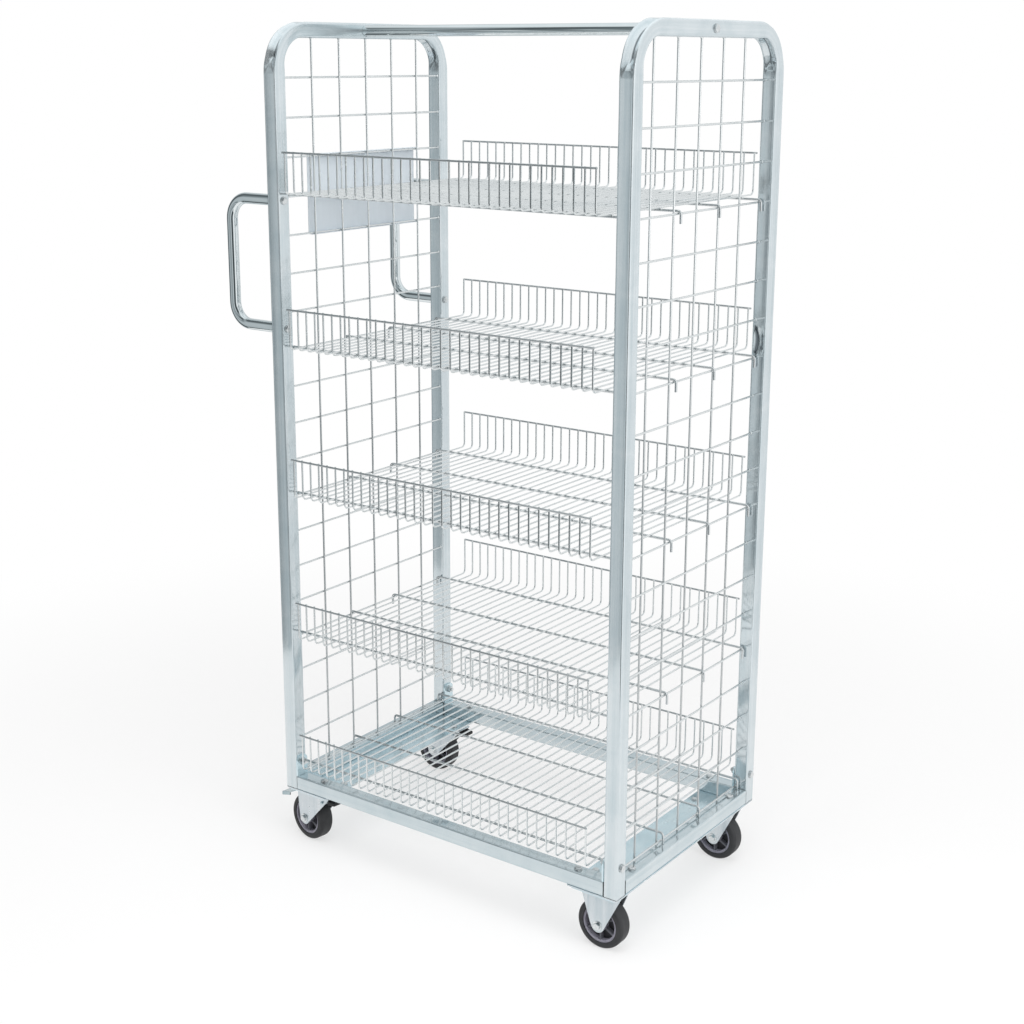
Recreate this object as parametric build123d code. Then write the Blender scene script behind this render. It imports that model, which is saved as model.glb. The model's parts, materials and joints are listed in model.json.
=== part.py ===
"""Shelf trolley: two wire-mesh gables on a low base, five hook-in wire shelves and four casters.

Millimetres. X runs along the trolley, with the push handles at the low end. The front is at low Y,
Z is up, and the origin lies on the floor under the middle of the trolley's bounding box.
Wires, wheels, pins and bolts, which repeat many times, are drawn with flat sides.
"""
import os
from math import cos, pi, radians, sin

from build123d import *

# Overall sizes
trolley_length = 828  # outer face of one gable to the outer face of the other
trolley_depth = 530  # front face of the front posts to the rear face of the rear posts
gable_height = 1565  # foot of a post to the top of the gable

# Gaps between neighbours
weld_gap = 0.1  # between two solids that are welded or pressed together
moving_gap = 0.3  # between two solids that move past each other
pin_gap = 0.05  # around a pin or an axle that turns

# Gables of square tube
tube_side = 30
tube_wall = 1.5
gable_bend_radius = 85  # outer radius of the two upper corners
gable_bend_dish = 4  # how far the bent faces sink in
gable_bend_flat = 10  # width of the sunk floor on the outer face

# Welded mesh in the gables
mesh_wire = 4
mesh_row_start = 6  # top of the cross tube to the middle of the lowest row
mesh_row_pitch = 75
mesh_column_pitch = 80

# Base
end_plate_width = 112
end_plate_thickness = 3
ear_height = 43
ear_thickness = 4
ear_corner = 8
gable_bolt_height = 61  # above the foot of the posts

# Bolts with a square neck
bolt_square = 8
bolt_hole_gap = 0.2
bolt_head_flats = 13
bolt_head_height = 5
bolt_thread_length = 12  # how far a bolt reaches past the walls that it clamps

# Top rail and push handles of round tube
rail_diameter = 22
rail_wall = 1.5
handle_diameter = 22
handle_sides = 10
handle_reach = 112  # outer face of the gable to the middle of the grip
handle_height = 250  # between the middles of the two legs
handle_drop = 335  # top of the gable to the middle of the upper leg
handle_bend_radius = 42
handle_bend_steps = 6

# Blank sign plate clipped between the rows above and below the one that carries the top shelf
sign_width = 330
sign_thickness = 1.5
sign_hook_clearance = 2  # plate to the hooks of the top shelf

# Wire shelves
shelf_wire = 3.5
shelf_wire_pitch = 22
shelf_end_gap = 32  # inner face of a gable to the outermost cross wire
shelf_lip_wire = 4
shelf_lip_overhang = 4  # lip wire past the outermost cross wire
shelf_lip_height = 90  # row that carries the shelf to the top of the lip
shelf_lip_clearance = 12.5  # face of the posts to the middle of the lip
shelf_support_wire = 5
shelf_outer_support_inset = 6  # inner face of a post to the middle of the outer support wires
shelf_inner_support_inset = 10  # mesh column to the middle of the inner support wires
shelf_hook_drop = 22
rows_over_top_shelf = 3  # rows of the mesh above the one that carries the top shelf
hung_shelves = ("lower", "middle", "upper", "top")

# Casters
caster_headroom = 25  # top of the wheel to the top of the caster
caster_plate_length = 105
caster_plate_width = 85
caster_plate_thickness = 3
caster_inset_x = 55  # outer face of the gable to the middle of a caster
caster_inset_y = 45  # face of the posts to the middle of a caster
swivel_offset = 28  # kingpin to wheel axle
swivel_turn = {"front": -8, "rear": 0}  # degrees about Z, as the casters stand

# Wheels
wheel_diameter = 100
wheel_width = 34
tyre_bevel = 6
tyre_sides = 48
rim_diameter = 74
rim_thickness = 5
rim_width = 28
hub_boss_diameter = 27
hub_length = 38
hub_web = 9
hub_sides = 18
axle_diameter = 12
axle_sides = 8
axle_head_flats = 19
axle_head_height = 6

# Forks
fork_sheet = 3
fork_side_gap = 1  # hub to the inner face of a leg
fork_eye_radius = 14
fixed_fork_top = 98
swivel_fork_front = 48  # ahead of the kingpin
swivel_fork_back = 62  # behind the kingpin
race_diameter = 58
race_height = 6
kingpin_diameter = 12
kingpin_head_flats = 19
kingpin_head_height = 4

# Brakes of the swivel casters
brake_sheet = 2.5
brake_width = 30
brake_clearance = 4.25  # tyre to the lever at rest
brake_pin_diameter = 6
brake_pin_ahead = 30  # ahead of the kingpin
brake_pin_below = 1.5  # under the middle of the lever
brake_barrel_diameter = 11
brake_bridge_past_axle = 24
brake_knee_past_tyre = 8
brake_knee_drop = 12  # under the top of the tyre
brake_pedal_length = 27
brake_pedal_drop = 20  # under the top of the tyre
brake_tongue = 56  # ahead of the kingpin
brake_tab_length = 20
brake_tab_width = 34
brake_tab_height = 11
brake_tab_bevel = 3
brake_tab_end = 62  # ahead of the kingpin

# Places that follow from the sizes
caster_height = wheel_diameter + caster_headroom
foot_z = caster_height + end_plate_thickness
top_z = foot_z + gable_height
half_length = trolley_length / 2
half_depth = trolley_depth / 2
tube_half = tube_side / 2
gable_x = half_length - tube_half
post_y = half_depth - tube_half
inner_x = half_length - tube_side
inner_y = half_depth - tube_side
bend_y = half_depth - gable_bend_radius
bend_z = top_z - gable_bend_radius
bolt_hole = bolt_square + 2 * bolt_hole_gap
gable_bolt_z = foot_z + gable_bolt_height
column_x = inner_x + mesh_wire / 2
row_x = column_x + mesh_wire + weld_gap
first_row_z = foot_z + tube_side + mesh_row_start
row_count = int((bend_z - first_row_z) // mesh_row_pitch) + 1
columns_each_side = int((bend_y - mesh_wire) // mesh_column_pitch)
rail_z = top_z - tube_half
handle_x = -half_length - handle_reach
handle_levels = (top_z - handle_drop - handle_height, top_z - handle_drop)
lip_y = half_depth + shelf_lip_clearance
outer_support_y = inner_y - shelf_outer_support_inset
inner_support_y = mesh_column_pitch - shelf_inner_support_inset
shelf_gaps = int(2 * (inner_x - shelf_end_gap) // shelf_wire_pitch)
shelf_end_x = shelf_gaps * shelf_wire_pitch / 2
hook_inside = row_x + mesh_wire / 2 + moving_gap
hook_outside = hook_inside + shelf_support_wire
shelf_row_step = (row_count - 1 - rows_over_top_shelf) // len(hung_shelves)
top_shelf_row = shelf_row_step * len(hung_shelves)
caster_x = half_length - caster_inset_x
caster_y = half_depth - caster_inset_y
wheel_z = wheel_diameter / 2
plate_bottom = caster_height - caster_plate_thickness
race_bottom = plate_bottom - race_height
crown_top = race_bottom - moving_gap
crown_bottom = crown_top - fork_sheet
fork_inside = hub_length / 2 + fork_side_gap
fork_outside = fork_inside + fork_sheet
brake_level = wheel_diameter + brake_clearance + brake_sheet / 2
brake_pin_z = brake_level - brake_pin_below

# The handles reach further out than the bolts at the other end, so the middle of the box is off the middle
# of the gables
left_reach = half_length + handle_reach + handle_diameter / 2
right_reach = half_length + bolt_head_height
origin_x = (right_reach - left_reach) / 2

nodes = {}


def block(x, y, z):
    """A block between the two ends given on each axis."""
    return Pos(sum(x) / 2, sum(y) / 2, sum(z) / 2) * Box(x[1] - x[0], y[1] - y[0], z[1] - z[0])


def around(middle, half):
    """The two ends of a stretch about its middle."""
    return (middle - half, middle + half)


def bar_outside(diameter, sides, low, high):
    """A bar about Z with flat sides, whose corners lie on the diameter."""
    return extrude(Pos(0, 0, low) * RegularPolygon(diameter / 2, sides), high - low)


def bar_around(diameter, sides, low, high):
    """A bar about Z with flat sides, whose flats touch the diameter from outside."""
    return bar_outside(diameter / cos(pi / sides), sides, low, high)


def mirrored(pieces):
    """The same pieces at the other end of the trolley."""
    return [mirror(piece, about=Plane.YZ) for piece in pieces]


def row_z(row):
    """The height of one row of the mesh."""
    return first_row_z + row * mesh_row_pitch


def corner_point(radius, degrees):
    """A point of the rear upper bend of the gable, in the YZ plane."""
    return (bend_y + radius * cos(radians(degrees)), bend_z + radius * sin(radians(degrees)))


def gable_corner():
    """The rear upper bend of the gable, whose outer and inner faces sink in as a bent square tube's do."""
    high = gable_bend_radius
    low = gable_bend_radius - tube_side
    flat = gable_bend_flat / 2
    section = Polyline(
        (-tube_half, low),
        (0, low + gable_bend_dish),
        (tube_half, low),
        (tube_half, high),
        (flat, high - gable_bend_dish),
        (-flat, high - gable_bend_dish),
        (-tube_half, high),
        close=True,
    )
    bend = revolve(make_face(section), axis=Axis.X, revolution_arc=90)
    return Pos(0, bend_y, bend_z) * bend


def gable_bore():
    """The hollow of the gable's tube, which narrows in the bends."""
    bend_outer = gable_bend_radius - gable_bend_dish - tube_wall
    bend_inner = (gable_bend_radius - tube_side + gable_bend_dish + tube_wall) / cos(radians(22.5))
    rear_outer = [(half_depth - tube_wall, foot_z), (half_depth - tube_wall, bend_z)]
    rear_outer += [corner_point(bend_outer, degrees) for degrees in (0, 45, 90)]
    rear_outer += [(bend_y, top_z - tube_wall)]
    rear_inner = [(bend_y, top_z - tube_side + tube_wall)]
    rear_inner += [corner_point(bend_inner, degrees) for degrees in (90, 45, 0)]
    rear_inner += [(inner_y + tube_wall, bend_z), (inner_y + tube_wall, foot_z)]
    front_outer = [(-y, z) for y, z in reversed(rear_outer)]
    front_inner = [(-y, z) for y, z in reversed(rear_inner)]
    outline = Polyline(*rear_outer, *front_outer, *front_inner, *rear_inner, close=True)
    return extrude(Plane.YZ * make_face(outline), tube_half - tube_wall, both=True)


def gable_tube():
    """The inverted U of one gable, about the plane X 0."""
    post = block(around(0, tube_half), around(post_y, tube_half), (foot_z, bend_z))
    bar = block(around(0, tube_half), around(0, bend_y), around(rail_z, tube_half))
    half = post + gable_corner()
    return bar + half + mirror(half, about=Plane.XZ) - gable_bore()


def bolt_hole_x(y, z):
    """A square hole right through a tube of the gables."""
    return Pos(0, y, z) * Box(2 * tube_side, bolt_hole, bolt_hole)


def bolt_x(head_x, y, z, length):
    """A bolt along X, whose head sits on head_x and whose shank runs to lower X."""
    hexagon = RegularPolygon(bolt_head_flats / 2, 6, major_radius=False)
    head = extrude(hexagon, bolt_head_height)
    shank = Pos(0, 0, -length / 2) * Box(bolt_square, bolt_square, length)
    return Pos(head_x, y, z) * Rot(0, 90, 0) * (head + shank)


def square_tube(x, y, z, axis):
    """A straight square tube that fills the block x, y, z and is open at both ends of its axis."""
    bore = {"x": x, "y": y, "z": z}
    for name, (low, high) in bore.items():
        if name != axis:
            bore[name] = (low + tube_wall, high - tube_wall)
    return block(x, y, z) - block(**bore)


def mesh_wires():
    """The right mesh: upright wires inside, level wires welded to their outer side."""
    half = mesh_wire / 2
    upright_z = (foot_z + tube_side + weld_gap, top_z - tube_side - weld_gap)
    wires = []
    for column in range(-columns_each_side, columns_each_side + 1):
        y = column * mesh_column_pitch
        wires.append(block(around(column_x, half), around(y, half), upright_z))
    for row in range(row_count):
        wires.append(block(around(row_x, half), around(0, inner_y - weld_gap), around(row_z(row), half)))
    return wires


def make_gables():
    """Tubes, cross tubes and mesh of the two gables."""
    plain = gable_tube() - bolt_hole_x(0, rail_z)
    for y in (-post_y, post_y):
        plain -= bolt_hole_x(y, gable_bolt_z)
    with_handles = plain
    for y in (-post_y, post_y):
        for z in handle_levels:
            with_handles -= bolt_hole_x(y, z)
    nodes["left_gable_tube"] = Pos(-gable_x, 0, 0) * with_handles
    nodes["right_gable_tube"] = Pos(gable_x, 0, 0) * plain
    for side, x in (("left", -gable_x), ("right", gable_x)):
        cross_x = around(x, tube_half)
        cross_z = (foot_z, foot_z + tube_side)
        nodes[f"{side}_gable_cross_tube"] = square_tube(cross_x, (-inner_y, inner_y), cross_z, "y")
    wires = mesh_wires()
    nodes["right_gable_mesh"] = wires
    nodes["left_gable_mesh"] = mirrored(wires)


def base_ear(y):
    """An upright ear on the right end of a rail, against the inner face of a post."""
    low = foot_z + tube_side
    outline = Pos(y, low + ear_height / 2) * Rectangle(tube_side, ear_height)
    outline = chamfer(outline.vertices().group_by(Axis.Y)[-1], ear_corner)
    ear = extrude(Plane.YZ.offset(inner_x) * outline, -ear_thickness)
    return ear - Pos(inner_x, 0, 0) * bolt_hole_x(y, gable_bolt_z)


def make_base():
    """Rails along the front and the rear, end plates for the casters and ears for the gables."""
    for side, y in (("front", -post_y), ("rear", post_y)):
        rail_y = around(y, tube_half)
        nodes[f"base_{side}_rail"] = square_tube((-inner_x, inner_x), rail_y, (foot_z, foot_z + tube_side), "x")
    plate_x = (half_length - end_plate_width, half_length)
    plate = block(plate_x, (-half_depth, half_depth), (caster_height, foot_z))
    nodes["base_right_end_plate"] = plate
    nodes["base_left_end_plate"] = mirror(plate, about=Plane.YZ)
    ears = [base_ear(y) for y in (-post_y, post_y)]
    nodes["base_ears"] = ears + mirrored(ears)


def make_bolts():
    """Bolts that hold the gables to the base, the handles to the posts and the rail to the gables."""
    past_post = tube_side + bolt_thread_length
    gable_bolts = [bolt_x(half_length, y, gable_bolt_z, past_post + ear_thickness) for y in (-post_y, post_y)]
    nodes["gable_bolts"] = gable_bolts + mirrored(gable_bolts)
    into_handle = past_post - moving_gap
    nodes["handle_bolts"] = [bolt_x(-inner_x, y, z, into_handle) for y in (-post_y, post_y) for z in handle_levels]
    rail_bolts = [bolt_x(half_length, 0, rail_z, past_post)]
    nodes["top_rail_bolts"] = rail_bolts + mirrored(rail_bolts)


def make_top_rail():
    """Round rail between the tops of the two gables."""
    tube = Cylinder(rail_diameter / 2, 2 * inner_x) - Cylinder(rail_diameter / 2 - rail_wall, 2 * inner_x)
    nodes["top_rail"] = Pos(0, 0, rail_z) * Rot(0, 90, 0) * tube


def handle_bend(height, first, last):
    """Points along a bend between a level leg and the grip, from one angle to the other."""
    turn = [first + (last - first) * step / handle_bend_steps for step in range(handle_bend_steps + 1)]
    middle_x = handle_x + handle_bend_radius
    return [
        (
            middle_x + handle_bend_radius * cos(radians(angle)),
            0,
            height + handle_bend_radius * sin(radians(angle)),
        )
        for angle in turn
    ]


def make_handles():
    """A bent grip on each post of the left gable, threaded at its ends."""
    low, high = handle_levels
    path = Polyline(
        (-half_length, 0, low),
        *handle_bend(low + handle_bend_radius, 270, 180),
        *handle_bend(high - handle_bend_radius, 180, 90),
        (-half_length, 0, high),
    )
    section = Plane(path @ 0, z_dir=(-1, 0, 0)) * RegularPolygon(handle_diameter / 2, handle_sides)
    grip = sweep(section, path=path, transition=Transition.RIGHT)
    for z in handle_levels:
        grip -= Pos(-half_length, 0, z) * Box(2 * bolt_thread_length, bolt_hole, bolt_hole)
    for side, y in (("front", -post_y), ("rear", post_y)):
        nodes[f"{side}_handle"] = Pos(0, y, 0) * grip


def make_sign():
    """A blank plate outside the left mesh, with a fold over its upper row and one under its lower row."""
    half_wire = mesh_wire / 2
    inside = -(hook_outside + sign_hook_clearance)
    outside = inside - sign_thickness
    fold_end = -(row_x - half_wire)
    low = row_z(top_shelf_row - 1) - half_wire - weld_gap
    high = row_z(top_shelf_row + 1) + half_wire + weld_gap
    side_view = Polyline(
        (outside, low - sign_thickness),
        (fold_end, low - sign_thickness),
        (fold_end, low),
        (inside, low),
        (inside, high),
        (fold_end, high),
        (fold_end, high + sign_thickness),
        (outside, high + sign_thickness),
        close=True,
    )
    nodes["sign_plate"] = extrude(Plane.XZ * make_face(side_view), sign_width / 2, both=True)


def u_bend(half_span, low, high, wire):
    """Outline of a wire bent to a U: its outer half width, its lowest and highest ends and its thickness."""
    outside = Pos(0, (low + high) / 2) * Rectangle(2 * half_span, high - low)
    inside = Pos(0, (low + wire + high) / 2) * Rectangle(2 * (half_span - wire), high - low - wire)
    return outside - inside


def support_wire(y, level):
    """A wire under the shelf's floor, whose ends pass over the mesh and hook down outside it."""
    half = shelf_support_wire / 2
    hooks = u_bend(hook_outside, -level - half, shelf_hook_drop - level, shelf_support_wire)
    hooks = mirror(hooks, about=Plane.XZ)
    return Pos(0, y, 0) * extrude(Plane.XZ * hooks, half, both=True)


def make_shelf(name, level):
    """One shelf whose support wires lie at the height level."""
    lip_top = level - shelf_support_wire / 2 - moving_gap - mesh_wire / 2 + shelf_lip_height
    floor_low = level + shelf_support_wire / 2 + weld_gap
    outline = u_bend(lip_y + shelf_wire / 2, floor_low, lip_top, shelf_wire)
    wire = extrude(Plane.YZ * outline, shelf_wire / 2, both=True)
    places = [number * shelf_wire_pitch - shelf_end_x for number in range(shelf_gaps + 1)]
    nodes[f"{name}_shelf_cross_wires"] = [Pos(x, 0, 0) * wire for x in places]
    lip_low = lip_y + shelf_wire / 2 + weld_gap
    lip_x = around(0, shelf_end_x + shelf_lip_overhang)
    lip = block(lip_x, (lip_low, lip_low + shelf_lip_wire), (lip_top - shelf_lip_wire, lip_top))
    support_places = (-outer_support_y, -inner_support_y, inner_support_y, outer_support_y)
    supports = [support_wire(y, level) for y in support_places]
    nodes[f"{name}_shelf_long_wires"] = [lip, mirror(lip, about=Plane.XZ), *supports]


def make_shelves():
    """The lowest shelf stands on the cross tubes by its hooks, and the others hang on rows of the mesh."""
    make_shelf("bottom", foot_z + tube_side + moving_gap + shelf_hook_drop)
    for number, name in enumerate(hung_shelves, start=1):
        row_top = row_z(number * shelf_row_step) + mesh_wire / 2
        make_shelf(name, row_top + moving_gap + shelf_support_wire / 2)


def fork(front, back, top, eye_x):
    """A pressed fork: two legs that taper to round eyes at the axle, and the crown that joins them."""
    eye = Pos(eye_x, wheel_z) * Circle(fork_eye_radius)
    crown_line = Line((back, top), (front, top))
    side_view = make_hull([*eye.edges(), *crown_line.edges()])
    leg = extrude(Plane.XZ.offset(-fork_outside) * side_view, fork_sheet)
    crown = block((back, front), around(0, fork_outside), (top - fork_sheet, top))
    hole = bar_around(axle_diameter + 2 * pin_gap, axle_sides, -2 * fork_outside, 2 * fork_outside)
    return crown + leg + mirror(leg, about=Plane.XZ) - Pos(eye_x, 0, wheel_z) * Rot(90, 0, 0) * hole


def axle():
    """Axle bolt along Y with its hexagon head and its nut, about the wheel's middle."""
    seat = fork_outside + weld_gap
    head = bar_around(axle_head_flats, 6, seat, seat + axle_head_height)
    shank = bar_outside(axle_diameter, axle_sides, -seat, seat)
    return Rot(90, 0, 0) * (shank + head + mirror(head, about=Plane.XY))


def tyre():
    """Rubber tyre about the Y axis, with bevelled shoulders and the seat of the rim."""
    tread = wheel_width / 2 - tyre_bevel
    outline = RegularPolygon(wheel_diameter / 2, tyre_sides)
    shoulder = extrude(Pos(0, 0, tread) * outline, tyre_bevel, taper=45)
    body = bar_outside(wheel_diameter, tyre_sides, -tread, tread) + shoulder + mirror(shoulder, about=Plane.XY)
    seat = bar_outside(rim_diameter + 2 * weld_gap, hub_sides, -wheel_width, wheel_width)
    return Rot(90, 0, 0) * (body - seat)


def hub():
    """Wheel centre about the Y axis: a rim, a web set back on both sides and a boss with the bore."""
    half_rim = rim_width / 2
    half_boss = hub_length / 2
    rim_inside = rim_diameter - 2 * rim_thickness
    body = bar_outside(rim_diameter, hub_sides, -half_rim, half_rim)
    for low, high in ((-half_rim, -hub_web / 2), (hub_web / 2, half_rim)):
        body -= bar_outside(rim_inside, hub_sides, low, high)
    body += bar_outside(hub_boss_diameter, hub_sides, -half_boss, half_boss)
    body -= bar_around(axle_diameter + 2 * pin_gap, axle_sides, -half_boss, half_boss)
    return Rot(90, 0, 0) * body


def caster_plate():
    """Flat top plate of a caster, with its middle on the Z axis."""
    half_x = caster_plate_length / 2
    half_y = caster_plate_width / 2
    return block((-half_x, half_x), (-half_y, half_y), (plate_bottom, caster_height))


def make_wheel(name, place):
    """Axle, wheel centre and tyre about one place."""
    nodes[f"{name}_axle"] = place * axle()
    nodes[f"{name}_wheel_hub"] = place * hub()
    nodes[f"{name}_tyre"] = place * tyre()


def make_fixed_caster(name, place):
    """A caster of the right end, which rolls straight on."""
    middle = fixed_fork_top / 2
    nodes[f"{name}_caster_plate"] = place * caster_plate()
    nodes[f"{name}_caster_fork"] = place * fork(middle, -middle, plate_bottom, 0)
    make_wheel(name, place * Pos(0, 0, wheel_z))


def swivel_plate():
    """Top plate with its ball race and the riveted kingpin, whose head is under the fork's crown."""
    race = bar_outside(race_diameter, hub_sides, race_bottom, plate_bottom)
    head_top = crown_bottom - moving_gap
    shank = bar_outside(kingpin_diameter, axle_sides, head_top, race_bottom)
    head = bar_around(kingpin_head_flats, 6, head_top - kingpin_head_height, head_top)
    return caster_plate() + race + shank + head


def brake_pin_place():
    """The place of the brake's pin, turned so that Z lies along it."""
    return Pos(brake_pin_ahead, 0, brake_pin_z) * Rot(90, 0, 0)


def swivel_fork():
    """Fork of a swivel caster about the kingpin's axis, with the holes of the kingpin and the brake's pin."""
    body = fork(swivel_fork_front, -swivel_fork_back, crown_top, -swivel_offset)
    body -= bar_around(kingpin_diameter + 2 * pin_gap, axle_sides, crown_bottom - fork_sheet, race_bottom)
    pin_hole = bar_around(brake_pin_diameter + 2 * pin_gap, axle_sides, -2 * fork_outside, 2 * fork_outside)
    return body - brake_pin_place() * pin_hole


def brake_lever():
    """Lever that rocks on its pin: over the tyre to the pedal behind it, with a tongue ahead."""
    tyre_back = -swivel_offset - wheel_diameter / 2
    knee_x = tyre_back - brake_knee_past_tyre
    line = Polyline(
        (brake_tongue, 0, brake_level),
        (-swivel_offset - brake_bridge_past_axle, 0, brake_level),
        (knee_x, 0, wheel_diameter - brake_knee_drop),
        (knee_x - brake_pedal_length, 0, wheel_diameter - brake_pedal_drop),
    )
    section = Plane(line @ 0, x_dir=(0, 1, 0), z_dir=(-1, 0, 0)) * Rectangle(brake_width, brake_sheet)
    strip = sweep(section, path=line, transition=Transition.RIGHT)
    barrel = bar_outside(brake_barrel_diameter, axle_sides, -brake_width / 2, brake_width / 2)
    pin = bar_outside(brake_pin_diameter, axle_sides, -fork_outside, fork_outside)
    return strip + brake_pin_place() * (barrel + pin)


def brake_tab():
    """Moulded cap pushed onto the tongue of the lever."""
    tab_z = around(brake_level, brake_tab_height / 2)
    cap = block((brake_tab_end - brake_tab_length, brake_tab_end), around(0, brake_tab_width / 2), tab_z)
    cap = chamfer(cap.faces().sort_by(Axis.X)[-1].edges().filter_by(Axis.Y), brake_tab_bevel)
    slot_z = around(brake_level, brake_sheet / 2 + weld_gap)
    return cap - block((0, brake_tongue + weld_gap), around(0, brake_width / 2 + weld_gap), slot_z)


def make_swivel_caster(name, place, turn):
    """A caster of the left end, which swivels about its kingpin and has a brake."""
    turned = place * Rot(0, 0, turn)
    nodes[f"{name}_caster_plate"] = place * swivel_plate()
    nodes[f"{name}_caster_fork"] = turned * swivel_fork()
    make_wheel(name, turned * Pos(-swivel_offset, 0, wheel_z))
    nodes[f"{name}_brake_lever"] = turned * brake_lever()
    nodes[f"{name}_brake_tab"] = turned * brake_tab()


def make_casters():
    """Fixed casters on the right, swivel casters on the left."""
    for side, y in (("front", -caster_y), ("rear", caster_y)):
        make_fixed_caster(f"right_{side}", Pos(caster_x, y, 0))
        make_swivel_caster(f"left_{side}", Pos(-caster_x, y, 0), swivel_turn[side])


make_gables()
make_base()
make_bolts()
make_top_rail()
make_handles()
make_sign()
make_shelves()
make_casters()

os.makedirs("parts", exist_ok=True)
for name, shape in nodes.items():
    solids = shape if isinstance(shape, list) else [shape]
    placed = [Pos(-origin_x, 0, 0) * solid for solid in solids]
    export_step(placed[0] if len(placed) == 1 else Compound(children=placed), f"parts/{name}.step")
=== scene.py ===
"""Shelf trolley of bright zinc-plated steel on a white studio floor.

Metres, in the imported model's frame: X runs along the trolley with the push handles at the low end,
the front is at low Y, and Z is up from the floor.
"""
import json
from math import asin, atan2, cos, hypot, pi, radians, sin, tan

import bmesh
import bpy
from mathutils import Matrix, Vector

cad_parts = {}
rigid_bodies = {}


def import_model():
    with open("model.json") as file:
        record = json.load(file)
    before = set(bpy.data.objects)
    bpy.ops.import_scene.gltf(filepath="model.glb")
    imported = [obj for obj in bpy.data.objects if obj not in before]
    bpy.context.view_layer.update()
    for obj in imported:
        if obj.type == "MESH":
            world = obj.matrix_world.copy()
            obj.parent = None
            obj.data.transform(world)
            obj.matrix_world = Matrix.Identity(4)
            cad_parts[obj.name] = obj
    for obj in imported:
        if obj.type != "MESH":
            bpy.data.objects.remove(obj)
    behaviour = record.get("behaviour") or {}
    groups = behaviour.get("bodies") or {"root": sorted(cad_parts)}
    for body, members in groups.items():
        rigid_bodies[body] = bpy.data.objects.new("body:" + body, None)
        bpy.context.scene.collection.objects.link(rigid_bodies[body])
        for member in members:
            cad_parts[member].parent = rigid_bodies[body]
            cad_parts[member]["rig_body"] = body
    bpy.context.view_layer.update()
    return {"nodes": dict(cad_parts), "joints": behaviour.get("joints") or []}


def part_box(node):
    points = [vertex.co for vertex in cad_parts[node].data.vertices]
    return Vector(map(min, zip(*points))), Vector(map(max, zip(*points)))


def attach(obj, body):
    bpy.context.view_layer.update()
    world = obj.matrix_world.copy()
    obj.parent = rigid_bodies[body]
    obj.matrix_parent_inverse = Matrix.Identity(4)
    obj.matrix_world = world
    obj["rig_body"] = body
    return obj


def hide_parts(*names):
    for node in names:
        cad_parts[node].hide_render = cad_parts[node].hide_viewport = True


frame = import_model()

mm = 0.001
tiny = 0.01 * mm
near_by = 0.1 * mm
mirror_seam = 0.05 * mm
# Cosine above which a face looks one way
facing = 0.99
smooth_angle = radians(35)
along = {"X": (1, 0, 0), "Y": (0, 1, 0), "Z": (0, 0, 1)}
turned = {"X": (0, pi / 2, 0), "Y": (-pi / 2, 0, 0), "Z": (0, 0, 0)}

# Square tube
right_low, right_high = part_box("right_gable_tube")
left_low, left_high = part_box("left_gable_tube")
tube_side = right_high.x - right_low.x
tube_half = tube_side / 2
tube_corner = 3 * mm
tube_flat = tube_half - tube_corner
tube_columns = 6
tube_hollow = 0.35 * mm
joint_line = 1.2 * mm
foot_z = right_low.z
top_z = right_high.z
half_depth = right_high.y
post_y = half_depth - tube_half
right_x = (right_low.x + right_high.x) / 2
left_x = (left_low.x + left_high.x) / 2

# Bends of the gables
gable_bend_radius = 85 * mm
bend_y = half_depth - gable_bend_radius
bend_z = top_z - gable_bend_radius
bend_steps = 24
lead_steps = 6
lead_length = 14 * mm
# How far into the bend, from each end, the painted shade along the creases keeps off
crease_start = radians(11)
pinch_clear = 0.5 * mm
outer_pinch = 3.5 * mm
outer_valley = 10 * mm
inner_pinch = 1.5 * mm
inner_valley = 4.5 * mm
# From the post into the bend: how far the face's flat has narrowed, and how deep it lies
press_steps = (
    (0, 0), (0.06, 0.06 * mm), (0.12, 0.2 * mm), (0.19, 0.45 * mm), (0.26, 0.82 * mm), (0.34, 1.3 * mm),
    (0.42, 1.9 * mm), (0.58, 3.8 * mm), (0.74, 5.8 * mm), (0.9, 7.9 * mm), (1.0, outer_valley),
)

# A knock in the inner face of the right rear post
knock_z = 1100 * mm
knock_half = 32 * mm
knock_depth = 6 * mm
knock_width = 5 / 6
knock_rows = 16
knock_taper = 1.5
knock_sag = 0.4
knock_rim = 0.6 * mm
# Painted shade in the knock's curls, across in shares of the tube's flat and upwards in shares of the knock's
# half height
side_curl_x = -0.55
side_curl_bow = 0.15
side_curl_waves = 2.6
side_curl_width = 0.3
side_curl_dark = 1.5
low_curl_x = 0.2
low_curl_z = -0.5
low_curl_height = 0.7
low_curl_width = 0.36

# Mesh of the gables
mesh_wire = 4 * mm
mesh_row_start = 6 * mm
mesh_row_pitch = 75 * mm
mesh_rows = 20
mesh_row_inset = 0.3 * mm
mesh_column_pitch = 80 * mm
mesh_columns = 5
mesh_column_lap = 0.1 * mm
weld_flare = 1.7
weld_length = 2 * mm

# Base
bed_corner = 4 * mm
bed_edge = 0.6 * mm
# Upward share of the normal below which a face is the plate's side
bed_side_tilt = 0.7
lug_thickness = 4 * mm
lug_corner = 9 * mm
lug_edge = 0.5 * mm

# Handles and sign
grip_radius = 11 * mm
grip_turn = 42 * mm
sign_thickness = 1.5 * mm
sign_edge = 0.5 * mm

# Shelves
shelf_names = ("bottom", "lower", "middle", "upper", "top")
shelf_wire = 3.5 * mm
shelf_wires = 33
shelf_bend = 9 * mm
support_wire = 5 * mm
support_bend = 6.5 * mm
support_places = (-229 * mm, -70 * mm, 70 * mm, 229 * mm)
lip_wire = 4 * mm
lip_overhang = 2.25 * mm
lip_taper = 0.7 * mm
lip_end = 0.6

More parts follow.
